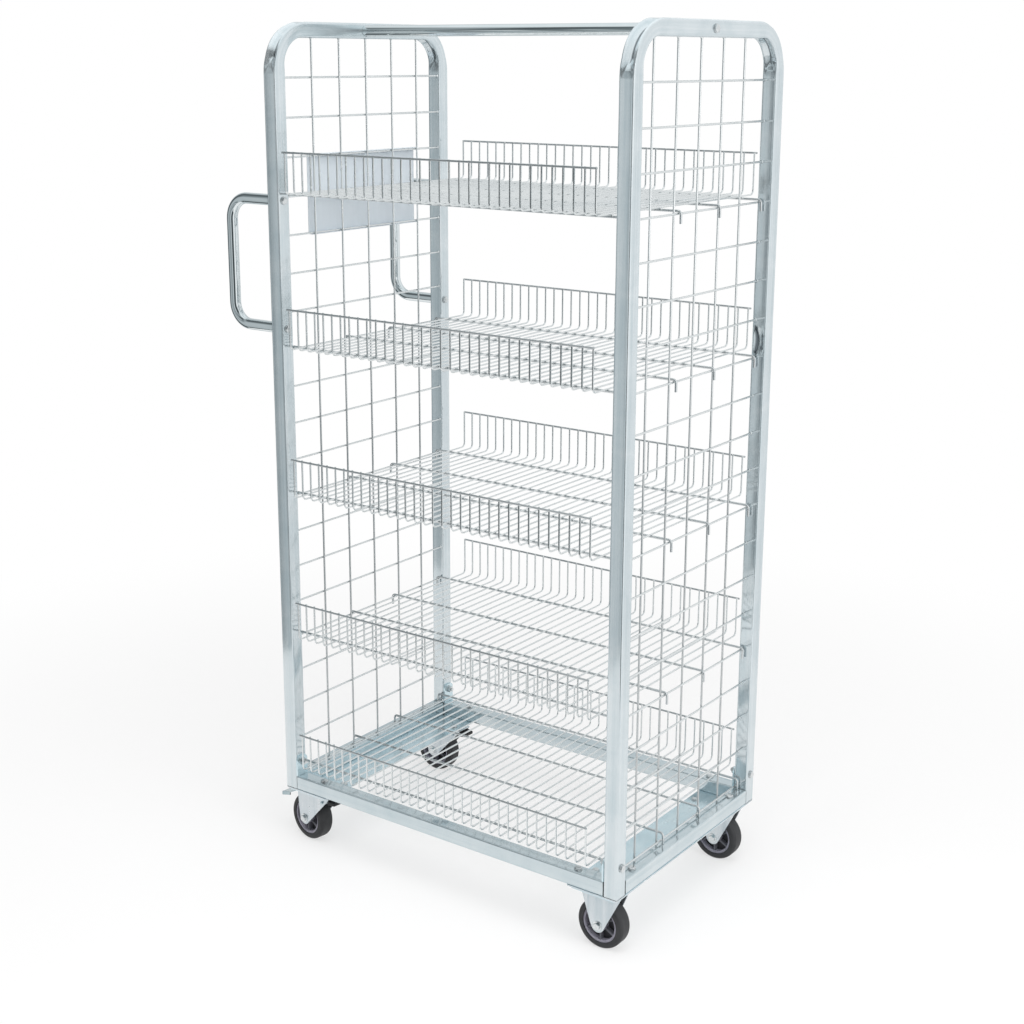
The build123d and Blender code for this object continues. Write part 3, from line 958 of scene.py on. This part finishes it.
def lug(end, y):
    """An upright lug on a rail with round upper corners, against the inner face of a post."""
    low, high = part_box("base_ears")
    near = high.x if end > 0 else low.x
    far = near - end * lug_thickness
    new_piece()
    box((min(near, far), y - tube_half, low.z), (max(near, far), y + tube_half, high.z))
    pick(
        "EDGE",
        lambda edge: abs(middle_of(edge).z - high.z) < tiny
        and abs(edge.verts[0].co.x - edge.verts[1].co.x) > mm,
    )
    round_picked(lug_corner, 6)
    piece = close_piece()
    round_edges(piece, lug_edge)
    return piece


def make_base():
    for side in ("front", "rear"):
        node = f"base_{side}_rail"
        rail = straight_tube(node, "X", zinc_lengthwise)
        hand_in(rail, f"base_{side}_square_rail", zinc_lengthwise, [node])
    for side in ("left", "right"):
        node = f"base_{side}_end_plate"
        hand_in(end_plate(side), f"base_{side}_caster_bed", zinc_sheet, [node])
    lugs = join([lug(end, y) for end in (-1, 1) for y in (-post_y, post_y)])
    hand_in(lugs, "base_lugs", zinc_sheet, ["base_ears"])


# Rail, handles and sign


def top_rail():
    low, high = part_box("top_rail")
    middle = (low + high) / 2
    new_piece()
    ring(32, (high.y - low.y) / 2, (low.x, middle.y, middle.z), "X")
    run(high.x - low.x, 0, 0)
    return close_piece()


def handle(side):
    """A round tube that leaves the post, turns up along the grip and turns back."""
    low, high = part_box(f"{side}_handle")
    y = (low.y + high.y) / 2
    post = high.x
    turn_x = low.x + grip_radius + grip_turn
    lower = low.z + grip_radius
    upper = high.z - grip_radius
    new_piece()
    ring(28, grip_radius, (post, y, lower), "X")
    run(turn_x - post, 0, 0)
    bend((turn_x, y, lower + grip_turn), "Y", 90, 12)
    run(0, 0, upper - lower - 2 * grip_turn)
    bend((turn_x, y, upper - grip_turn), "Y", 90, 12)
    run(post - turn_x, 0, 0)
    return close_piece()


def sign_plate():
    """A blank sheet with a fold over the row above and one under the row below."""
    low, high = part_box("sign_plate")
    middle_z = (low.z + high.z) / 2
    fold_z = (high.z - low.z) / 2 - sign_thickness
    new_piece()
    box(low, (low.x + sign_thickness, high.y, high.z))
    for z in (low.z + sign_thickness, high.z - sign_thickness):
        cut_across((0, 0, z), "Z")
    pick_faces((1, 0, 0), lambda middle: abs(middle.z - middle_z) > fold_z)
    run(high.x - low.x - sign_thickness, 0, 0)
    plate = close_piece()
    round_edges(plate, sign_edge, 3)
    return plate


def make_rail_and_handles():
    hand_in(top_rail(), "top_round_rail", bright_tube, ["top_rail"])
    for side in ("front", "rear"):
        hand_in(handle(side), f"{side}_push_grip", bright_tube, [f"{side}_handle"])
    hand_in(sign_plate(), "blank_sign", sign_sheet, ["sign_plate"])


# Shelves


def cross_wires(shelf):
    """The shelf's floor: wires bent up at both ends into the lips."""
    low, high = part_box(f"{shelf}_shelf_cross_wires")
    radius = shelf_wire / 2
    front = low.y + radius
    rear = high.y - radius
    floor = low.z + radius
    x = low.x + radius
    wall = high.z - floor - shelf_bend
    new_piece()
    ring(8, radius, (x, front, high.z), "Z")
    run(0, 0, -wall)
    bend((x, front + shelf_bend, floor + shelf_bend), "X", 90, 3)
    run(0, rear - front - 2 * shelf_bend, 0)
    bend((x, rear - shelf_bend, floor + shelf_bend), "X", 90, 3)
    run(0, 0, wall)
    wires = close_piece()
    repeat(wires, shelf_wires, ((high.x - low.x - shelf_wire) / (shelf_wires - 1), 0, 0))
    return wires


def support_wires(shelf):
    """Wires under the floor whose ends hook over the mesh."""
    low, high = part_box(f"{shelf}_shelf_long_wires")
    radius = support_wire / 2
    left = low.x + radius
    right = high.x - radius
    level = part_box(f"{shelf}_shelf_cross_wires")[0].z - radius
    drop = level - support_bend - low.z
    y = support_places[0]
    new_piece()
    ring(10, radius, (left, y, low.z), "Z")
    run(0, 0, drop)
    bend((left + support_bend, y, level - support_bend), "Y", 90, 5)
    run(right - left - 2 * support_bend, 0, 0)
    bend((right - support_bend, y, level - support_bend), "Y", 90, 5)
    run(0, 0, -drop)
    first = close_piece()
    first.data.materials.append(zinc_support)
    return [first, *(place(first, (0, other - y, 0)) for other in support_places[1:])]


def lip_wires(shelf):
    """A wire along the top of each lip, narrowed at its ends."""
    low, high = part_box(f"{shelf}_shelf_long_wires")
    floor_low, floor_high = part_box(f"{shelf}_shelf_cross_wires")
    radius = lip_wire / 2
    left = floor_low.x - lip_overhang
    length = floor_high.x + lip_overhang - left
    spot = Vector((left, low.y + radius, high.z - radius))
    new_piece()
    ring(10, radius * lip_end, spot, "X")
    run(lip_taper, 0, 0)
    flare(spot, 1 / lip_end)
    run(length - 2 * lip_taper, 0, 0)
    run(lip_taper, 0, 0)
    flare(spot + Vector((length, 0, 0)), lip_end)
    front = close_piece()
    front.data.materials.append(zinc_lip)
    return [front, place(front, (0, high.y - low.y - lip_wire, 0))]


def make_shelves():
    """One shelf is modelled, and the others are copies at their own heights."""
    first = shelf_names[0]
    floors = {first: cross_wires(first)}
    supports = {first: join(support_wires(first) + lip_wires(first))}
    first_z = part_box(f"{first}_shelf_cross_wires")[0].z
    for shelf in shelf_names[1:]:
        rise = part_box(f"{shelf}_shelf_cross_wires")[0].z - first_z
        for copies in (floors, supports):
            copies[shelf] = place(copies[first], (0, 0, rise))
    for shelf in shelf_names:
        node = f"{shelf}_shelf_cross_wires"
        hand_in(floors[shelf], f"{shelf}_shelf_floor", zinc_wire, [node])
        node = f"{shelf}_shelf_long_wires"
        hand_in(supports[shelf], f"{shelf}_shelf_supports", zinc_support, [node])


# Bolts


def hex_bolt(shank, nut_at=None):
    """A bolt along Z with a washer under its hexagon head, its thread and a nut. The washer lies on Z 0."""
    new_piece()
    drum(28, washer_radius, 0, washer_thickness, "Z")
    drum(6, bolt_corner, washer_thickness, bolt_head, "Z")
    pick_faces((0, 0, 1), lambda middle: middle.z > bolt_head - tiny)
    round_picked(bolt_rim, 4)
    drum(14, thread_radius, -shank, thread_lap, "Z")
    if nut_at is not None:
        nut_top = nut_at - washer_thickness
        drum(28, washer_radius, nut_top, nut_at, "Z")
        drum(6, bolt_corner, nut_top - nut_height, nut_top, "Z")
    bolt = close_solids()
    round_edges(bolt, bolt_edge)
    return bolt


def bolts_along_x(master, spots):
    """Copies of a bolt along X. Each spot gives the place of a head and the way it looks."""
    bolts = [place(master, at, way * pi / 2, "Y") for at, way in spots]
    bpy.data.objects.remove(master)
    return join(bolts)


def middle_height(node):
    low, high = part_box(node)
    return (low.z + high.z) / 2


def make_bolts():
    ends = ((left_low.x, -1), (right_high.x, 1))
    posts = (-post_y, post_y)
    z = middle_height("gable_bolts")
    clamped = tube_side + lug_thickness
    spots = [((x, y, z), way) for x, way in ends for y in posts]
    bolts = bolts_along_x(hex_bolt(clamped + nut_thread, -clamped), spots)
    hand_in(bolts, "gable_foot_bolts", bolt_zinc, ["gable_bolts"])

    z = middle_height("top_rail_bolts")
    bolts = bolts_along_x(hex_bolt(tube_side), [((x, 0, z), way) for x, way in ends])
    hand_in(bolts, "rail_end_bolts", bolt_zinc, ["top_rail_bolts"])

    low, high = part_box("front_handle")
    levels = (low.z + grip_radius, high.z - grip_radius)
    bolts = bolts_along_x(hex_bolt(tube_side), [((left_high.x, y, z), 1) for y in posts for z in levels])
    hand_in(bolts, "grip_bolts", bolt_zinc, ["handle_bolts"])

    master = hex_bolt(bed_bolt_shank)
    tube_top = foot_z + tube_side
    bolts = []
    for gable, inwards in ((left_x, bed_bolt_x), (right_x, -bed_bolt_x)):
        for way in (-1, 1):
            bolts.append(place(master, (gable, way * bed_bolt_y, tube_top)))
            bolts.append(place(master, (gable + inwards, way * bed_bolt_y, foot_z)))
            bolts.append(place(master, (gable + inwards, way * post_y, tube_top)))
    bpy.data.objects.remove(master)
    hand_in(join(bolts), "caster_bolts", bolt_zinc)


# Casters, each modelled about the upright axis of its plate, and wheels about their own middle


def tyre():
    """A tyre about the Y axis with round shoulders, open for the rim."""
    new_piece()
    drum(72, wheel_radius, -wheel_half, wheel_half, "Y")
    pick("FACE", lambda face: abs(face.normal.y) > facing)
    bpy.ops.mesh.inset(thickness=wheel_radius - rim_radius, use_individual=True)
    bpy.ops.mesh.delete(type="FACE")
    pick("EDGE", lambda edge: max(hypot(v.co.x, v.co.z) for v in edge.verts) < rim_radius + mm)
    bpy.ops.mesh.bridge_edge_loops()
    pick(
        "EDGE",
        lambda edge: abs(abs(middle_of(edge).y) - wheel_half) < tiny
        and min(hypot(v.co.x, v.co.z) for v in edge.verts) > wheel_radius - mm,
    )
    round_picked(tyre_shoulder, 6)
    return close_piece()


def wheel_centre():
    """The wheel's centre: a rim, a web set back, ribs, and a boss. One half is modelled and mirrored."""
    new_piece()
    drum(72, rim_radius, 0, rim_half, "Y")
    pick_faces((0, -1, 0))
    bpy.ops.mesh.delete(type="FACE")
    pick_faces((0, 1, 0))
    bpy.ops.mesh.inset(thickness=rim_radius - rim_inside)
    run(0, web_half - rim_half, 0)
    bpy.ops.mesh.inset(thickness=rim_inside - boss_radius)
    run(0, boss_half - web_half, 0)
    bpy.ops.mesh.inset(thickness=boss_wall)
    run(0, -boss_dish, 0)
    bpy.ops.object.mode_set(mode="OBJECT")
    half = bpy.context.object
    new_piece()
    box(
        (boss_radius - rib_lap, web_half - rib_lap, -rib_half),
        (rim_inside + rib_lap, rim_half - rib_set_back, rib_half),
    )
    rib = close_piece()
    round_edges(rib, rib_edge)
    rib.data.materials.append(rib_plastic)
    turns = [radians((number + 0.5) * 360 / rib_count) for number in range(rib_count)]
    ribs = [place(rib, (0, 0, 0), turn, "Y") for turn in turns]
    bpy.data.objects.remove(rib)
    round_edges(half, rim_edge)
    # The web at the bottom of the pockets takes the near-black copy, for painted shade
    for material in (rim_plastic_painted_light, web_plastic_painted_shade):
        half.data.materials.append(material)
    points = half.data.vertices
    for face in half.data.polygons:
        spread = max(hypot(points[number].co.x, points[number].co.z) for number in face.vertices)
        if spread < rim_inside + tiny and face.center.y < web_half + mm:
            face.material_index = 1
    return mirror_piece(join([half, *ribs]), "Y")


def axle():
    """Axle bolt along Y with a washer and a hexagon head at each end, about the wheel's middle."""
    washer_end = fork_outside + axle_washer
    head_end = fork_outside + axle_head
    new_piece()
    drum(20, axle_radius, -fork_outside, fork_outside, "Y")
    for way in (-1, 1):
        drum(28, axle_washer_radius, *sorted((way * (fork_outside - axle_washer_lap), way * washer_end)), "Y")
        drum(6, bolt_corner, *sorted((way * washer_end, way * head_end)), "Y")
        pick_faces((0, way, 0), lambda middle: abs(middle.y) > head_end - mm)
        round_picked(axle_rim, 2)
    bolt = close_solids()
    round_edges(bolt, axle_edge)
    return bolt


def leg_foot(across, rise):
    """Half of a leg's lower end that its side line, drawn to touch the round eye, leaves on one side."""
    slope = atan2(across, rise) - asin(fork_eye / hypot(across, rise))
    return fork_eye * tan(pi / 4 - slope / 2)


def fork(front, back, top, eye_x, front_fold):
    """A pressed fork: a crown whose sides turn down into tapered legs with round eyes and folded wings."""
    crown = top - fork_sheet
    leg_end = wheel_radius - fork_eye
    front_foot = leg_foot(front - eye_x, crown - wheel_radius)
    back_foot = leg_foot(eye_x - back, crown - wheel_radius)
    new_piece()
    box((back, 0, crown), (front, fork_inside, top))
    pick_faces((0, -1, 0))
    bpy.ops.mesh.delete(type="FACE")
    pick_faces((0, 1, 0))
    run(0, fork_sheet, 0)
    pick_faces((0, 0, -1), lambda middle: middle.y > fork_inside)
    run(0, 0, leg_end - crown)
    for was, now in ((back, eye_x - back_foot), (front, eye_x + front_foot)):
        pick("VERT", lambda v: abs(v.co.z - leg_end) < tiny and abs(v.co.x - was) < tiny)
        bpy.ops.transform.translate(value=(now - was, 0, 0))
    for x, foot in ((eye_x + front_foot, front_foot), (eye_x - back_foot, back_foot)):
        pick(
            "EDGE",
            lambda edge: all(abs(v.co.z - leg_end) < tiny and abs(v.co.x - x) < near_by for v in edge.verts),
        )
        round_picked(foot - near_by, 8)
    for way, fold in ((-1, fork_fold), (1, front_fold)):
        crease_x = eye_x + way * fork_crease
        cut_across((crease_x, 0, 0), "X")
        pick("VERT", lambda v: (v.co.x - crease_x) * way > tiny and v.co.y > fork_inside - tiny)
        bpy.ops.transform.rotate(
            value=way * radians(fold), orient_axis="Z", orient_type="GLOBAL",
            center_override=(crease_x, fork_outside, 0),
        )
    bpy.ops.object.mode_set(mode="OBJECT")
    whole = mirror_piece(bpy.context.object, "Y")
    round_edges(whole, fork_edge, 2, 30)
    return whole


def round_drum(sides, radius, low, high, steps):
    """An upright drum with a round lower rim."""
    drum(sides, radius, low, high, "Z")
    pick("EDGE", lambda edge: abs(middle_of(edge).z - low) < tiny)
    round_picked(race_rim, steps)


def top_plate(with_race):
    """A caster's top plate with round corners. A swivel caster's also has its ball race and its kingpin."""
    low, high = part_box("right_front_caster_plate")
    half_x = (high.x - low.x) / 2
    half_y = (high.y - low.y) / 2
    new_piece()
    box((-half_x, -half_y, low.z), (half_x, half_y, high.z))
    round_upright_edges(plate_corner, 5)
    if with_race:
        round_drum(48, race_radius, low.z - race_drop, low.z, 4)
        drum(20, kingpin_radius, *(low.z - drop for drop in kingpin_drops), "Z")
        round_drum(24, kingpin_head_radius, *(low.z - drop for drop in kingpin_head_drops), 3)
    plate = close_solids()
    round_edges(plate, plate_edge)
    return plate


def brake_lever():
    """A strip over the tyre, on its pin: a tongue, a bridge, a knee down behind the tyre and a pedal."""
    start = (lever_line[0][0], 0, lever_level)
    pedal_x = lever_line[2][0]
    flange_y = lever_half - lever_sheet
    pin_half = fork_outside + pin_end
    new_piece()
    bpy.ops.mesh.primitive_plane_add(size=1, location=start, rotation=turned["X"])
    bpy.ops.transform.resize(value=(1, 2 * lever_half, lever_sheet), center_override=start)
    bpy.ops.mesh.delete(type="ONLY_FACE")
    bpy.ops.mesh.select_all(action="SELECT")
    for (x, z), (next_x, next_z) in zip(lever_line, lever_line[1:]):
        run(next_x - x, 0, next_z - z)
    bpy.ops.mesh.select_all(action="SELECT")
    bpy.ops.mesh.fill_holes(sides=0)
    bpy.ops.mesh.normals_make_consistent(inside=False)
    for side in (-1, 1):
        cut_across((0, side * flange_y, 0), "Y")
    pick(
        "FACE",
        lambda face: face.normal.z < -pedal_tilt
        and abs(middle_of(face).y) > flange_y
        and middle_of(face).x < pedal_x,
    )
    run(0, 0, -pedal_flange)
    drum(24, sleeve_radius, -lever_half, lever_half, "Y", pin_at)
    drum(20, pin_radius, -pin_half, pin_half, "Y", pin_at)
    lever = close_solids()
    round_edges(lever, lever_edge)
    return lever


def joint_named(name):
    """The frame's entry for a joint."""
    return next(joint for joint in frame["joints"] if joint["name"] == name)


def brake_tab():
    """The black release tab on the front of the lever."""
    low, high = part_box("left_rear_brake_tab")
    kingpin = Vector(joint_named("left_rear_swivel")["pos_m"])
    kingpin.z = 0
    new_piece()
    box(low - kingpin, high - kingpin)
    pick_faces((1, 0, 0))
    bpy.ops.transform.resize(value=tab_taper)
    tab = close_piece()
    round_edges(tab, tab_edge, 4, 30)
    return tab


def plate_place(caster):
    low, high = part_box(f"{caster}_caster_plate")
    return Vector(((low.x + high.x) / 2, (low.y + high.y) / 2, 0))


# Of each piece of a caster: its name, its surface, its slot and the node it stands for
caster_pieces = {
    "plate": ("top_plate", zinc_sheet, "zinc_steel", "caster_plate"),
    "fork": ("fork", fork_zinc, "zinc_steel", "caster_fork"),
    "axle": ("axle_bolt", bolt_zinc, "zinc_steel", "axle"),
    "centre": ("wheel_centre", rim_plastic_painted_light, "wheel_plastic", "wheel_hub"),
    "tyre": ("round_tyre", tyre_rubber, "tyre_rubber", "tyre"),
    "lever": ("pedal", pedal_zinc, "zinc_steel", "brake_lever"),
    "tab": ("release_tab", black_plastic, "black_plastic", "brake_tab"),
}


def make_casters():
    """Each piece is modelled once. The right casters are fixed, and the left ones swivel and have brakes."""
    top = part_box("right_front_caster_plate")[0].z
    wheel = {"axle": axle(), "centre": wheel_centre(), "tyre": tyre()}
    brake = {"lever": brake_lever(), "tab": brake_tab()}
    fixed = {
        "plate": top_plate(False),
        "fork": fork(fixed_fork_half, -fixed_fork_half, top, 0, fork_fold),
    }
    swivel = {
        "plate": top_plate(True),
        "fork": fork(
            swivel_fork_front, swivel_fork_back, top - swivel_fork_drop, -swivel_offset, swivel_front_fold
        ),
    }
    for side, masters in (("right", {**fixed, **wheel}), ("left", {**swivel, **wheel, **brake})):
        for end in ("front", "rear"):
            caster = f"{side}_{end}"
            roll = joint_named(f"{caster}_wheel_roll")
            axis = Vector(roll["axis"])
            turn = atan2(-axis.x, axis.y)
            for kind, master in masters.items():
                name, surface, slot, node = caster_pieces[kind]
                at = Vector(roll["pos_m"]) if kind in wheel else plate_place(caster)
                piece = place(master, at, 0.0 if kind == "plate" else turn)
                hand_in(piece, f"{caster}_{name}", surface, [f"{caster}_{node}"])
    for masters in (wheel, brake, fixed, swivel):
        for master in masters.values():
            bpy.data.objects.remove(master)


make_gables()
make_base()
make_rail_and_handles()
make_shelves()
make_bolts()
make_casters()


# Studio

white = (1, 1, 1, 1)
floor_size = 40
floor_fade = (0.7, 2.4)
floor_glow = 0.62
floor_grey = (0.36, 0.36, 0.36)
world_light = 0.55
screen_radius = 1.55
screen_lift = 0.02
screen_height = 2.8
ceiling_rise = 0.6
ceiling_narrow = 0.1
belt_change = (1.55, 1.8)
ceiling_change = (2.7, 3.0)
ceiling_grey = 0.92
ceiling_colour = (ceiling_grey * 0.95, ceiling_grey, ceiling_grey * 1.02, 1)
# The tint of a dark screen, and what a white one adds to it
dark_tint = (0.82, 0.985, 1.05)
white_tint = (0.17, 0.01, -0.05)
# Brightness of the two belts of the screens, by the turn from low X over low Y and back, 0 to 1
lower_belt = (
    (0.00, 0.50), (0.02, 0.15), (0.05, 0.06), (0.07, 0.12), (0.085, 0.46), (0.097, 0.52), (0.118, 0.58),
    (0.128, 0.40), (0.136, 0.22), (0.145, 0.55), (0.153, 0.62), (0.160, 0.24), (0.168, 0.24), (0.176, 0.56),
    (0.186, 0.20), (0.197, 0.32), (0.207, 0.65), (0.224, 0.68), (0.234, 0.74), (0.244, 0.30), (0.262, 0.08),
    (0.282, 0.06), (0.325, 0.06), (0.345, 0.50), (0.370, 1.0), (0.500, 1.10), (0.600, 0.93), (0.740, 0.90),
    (0.800, 0.78), (0.860, 0.70), (0.930, 0.66), (1.0, 0.50),
)
upper_belt = (
    (0.00, 0.45), (0.04, 0.08), (0.09, 0.20), (0.110, 0.40), (0.125, 0.40), (0.15, 0.10), (0.19, 0.20),
    (0.210, 0.42), (0.226, 0.42), (0.25, 0.12), (0.33, 0.06), (0.36, 0.60), (0.42, 0.90), (0.55, 0.95),
    (0.75, 0.92), (0.86, 0.66), (0.94, 0.75), (1.0, 0.45),
)
camera_place = (1.8948, -2.5623, 1.6301)
camera_yaw = radians(35.889)
camera_pitch = radians(14.311)
camera_roll = radians(0.206)


def backdrop_rays(tree):
    """1 for rays from the camera, off metal and through glass, which see a plain white backdrop."""
    rays = tree.nodes.new("ShaderNodeLightPath").outputs
    seen = maths(tree, "MAXIMUM", rays["Is Camera Ray"], rays["Is Glossy Ray"])
    return maths(tree, "MAXIMUM", seen, rays["Is Transmission Ray"])


def make_floor():
    """White floor that keeps the trolley's shadow."""
    bpy.ops.object.select_all(action="DESELECT")
    bpy.ops.mesh.primitive_plane_add(size=floor_size, location=(0, 0, 0))
    floor = bpy.context.object
    floor.name = "studio_floor"
    material, tree, shader = new_material("floor_paper", Roughness=0.9, Specular_IOR_Level=0.0)
    floor.data.materials.append(material)
    away = add_node(tree, "ShaderNodeVectorMath", {"operation": "LENGTH"}, i0=object_place(tree))
    far = stretch(tree, away.outputs["Value"], floor_fade, kind="SMOOTHSTEP")
    glow = maths(tree, "MULTIPLY", backdrop_rays(tree), stretch(tree, far, end=(floor_glow, 1.0)))
    tree.links.new(two_tone(tree, far, floor_grey, (0, 0, 0)), shader.inputs["Base Color"])
    shader.inputs["Emission Color"].default_value = white
    tree.links.new(glow, shader.inputs["Emission Strength"])


def make_world():
    """Soft light from all round, and plain white where the camera or the metal looks past the floor."""
    world = bpy.data.worlds.new("studio_world")
    bpy.context.scene.world = world
    world.use_nodes = True
    tree = world.node_tree
    background = tree.nodes["Background"]
    background.inputs["Color"].default_value = white
    strength = stretch(tree, backdrop_rays(tree), end=(world_light, 1.0))
    tree.links.new(strength, background.inputs["Strength"])


def belt_colours(tree, turn, stops):
    """A grey that changes round the screens."""
    ramp = add_node(tree, "ShaderNodeValToRGB", i0=turn)
    elements = ramp.color_ramp.elements
    elements[0].position = stops[0][0]
    elements[1].position = stops[-1][0]
    for position, _ in stops[1:-1]:
        elements.new(position)
    for element, (_, level) in zip(elements, stops):
        share = min(level, 1.0)
        element.color = (*(level * (dark + more * share) for dark, more in zip(dark_tint, white_tint)), 1)
    return ramp.outputs[0]


def make_screen():
    """Screens and a ceiling round the trolley that only the metal sees, so that it isn't white on white."""
    bpy.ops.object.select_all(action="DESELECT")
    bpy.ops.mesh.primitive_circle_add(
        vertices=96, radius=screen_radius, fill_type="NOTHING", location=(0, 0, 0)
    )
    bpy.ops.object.mode_set(mode="EDIT")
    bpy.ops.mesh.select_all(action="SELECT")
    bpy.ops.transform.translate(value=(0, 0, screen_lift))
    run(0, 0, screen_height)
    run(0, 0, ceiling_rise)
    bpy.ops.transform.resize(value=(ceiling_narrow, ceiling_narrow, 1), center_override=(0, 0, 0))
    bpy.ops.object.mode_set(mode="OBJECT")
    screen = bpy.context.object
    screen.name = "studio_screen"
    for ray in ("camera", "diffuse", "transmission", "volume_scatter", "shadow"):
        setattr(screen, f"visible_{ray}", False)
    material = bpy.data.materials.new("screen_cloth")
    material.use_nodes = True
    tree = material.node_tree
    tree.nodes.clear()
    place_on = object_place(tree)
    turn = add_node(tree, "ShaderNodeTexGradient", {"gradient_type": "RADIAL"}, Vector=place_on).outputs[1]
    height = add_node(tree, "ShaderNodeSeparateXYZ", Vector=place_on).outputs[2]
    upper = stretch(tree, height, belt_change, kind="SMOOTHSTEP")
    ceiling = stretch(tree, height, ceiling_change, kind="SMOOTHSTEP")
    belts = blend(tree, upper, belt_colours(tree, turn, lower_belt), belt_colours(tree, turn, upper_belt))
    colour = blend(tree, ceiling, belts, ceiling_colour)
    glow = add_node(tree, "ShaderNodeEmission", Color=colour, Strength=1.0)
    output = tree.nodes.new("ShaderNodeOutputMaterial")
    tree.links.new(glow.outputs[0], output.inputs[0])
    screen.data.materials.append(material)


def make_lamp(name, at, target, size, power):
    lamp = bpy.data.lights.new(name, "AREA")
    lamp.shape = "SQUARE"
    lamp.size = size
    lamp.energy = power
    holder = bpy.data.objects.new(name, lamp)
    holder.location = at
    holder.rotation_euler = (Vector(target) - Vector(at)).to_track_quat("-Z", "Y").to_euler()
    bpy.context.scene.collection.objects.link(holder)


def make_camera():
    """Stands in front of the right corner and looks down a little."""
    data = bpy.data.cameras.new("photo_camera")
    data.sensor_width = 36
    data.lens = 57.166
    data.shift_y = -0.04
    level = Vector((cos(camera_yaw), sin(camera_yaw), 0))
    ahead = cos(camera_pitch)
    forward = Vector((-sin(camera_yaw) * ahead, cos(camera_yaw) * ahead, -sin(camera_pitch)))
    upright = level.cross(forward)
    right = level * cos(camera_roll) + upright * sin(camera_roll)
    up = upright * cos(camera_roll) - level * sin(camera_roll)
    turn = Matrix((right, up, -forward)).transposed().to_4x4()
    camera = bpy.data.objects.new("photo_camera", data)
    camera.matrix_world = Matrix.Translation(camera_place) @ turn
    bpy.context.scene.collection.objects.link(camera)
    bpy.context.scene.camera = camera


make_floor()
make_world()
make_screen()
make_lamp("soft_lamp_above", at=(0.6, -1.2, 3.6), target=(0, 0, 0.6), size=2.6, power=70)
make_lamp("soft_lamp_right", at=(3.4, -0.6, 2.4), target=(0, 0, 0.8), size=1.8, power=45)
make_camera()
bpy.context.scene.view_settings.view_transform = "Standard"
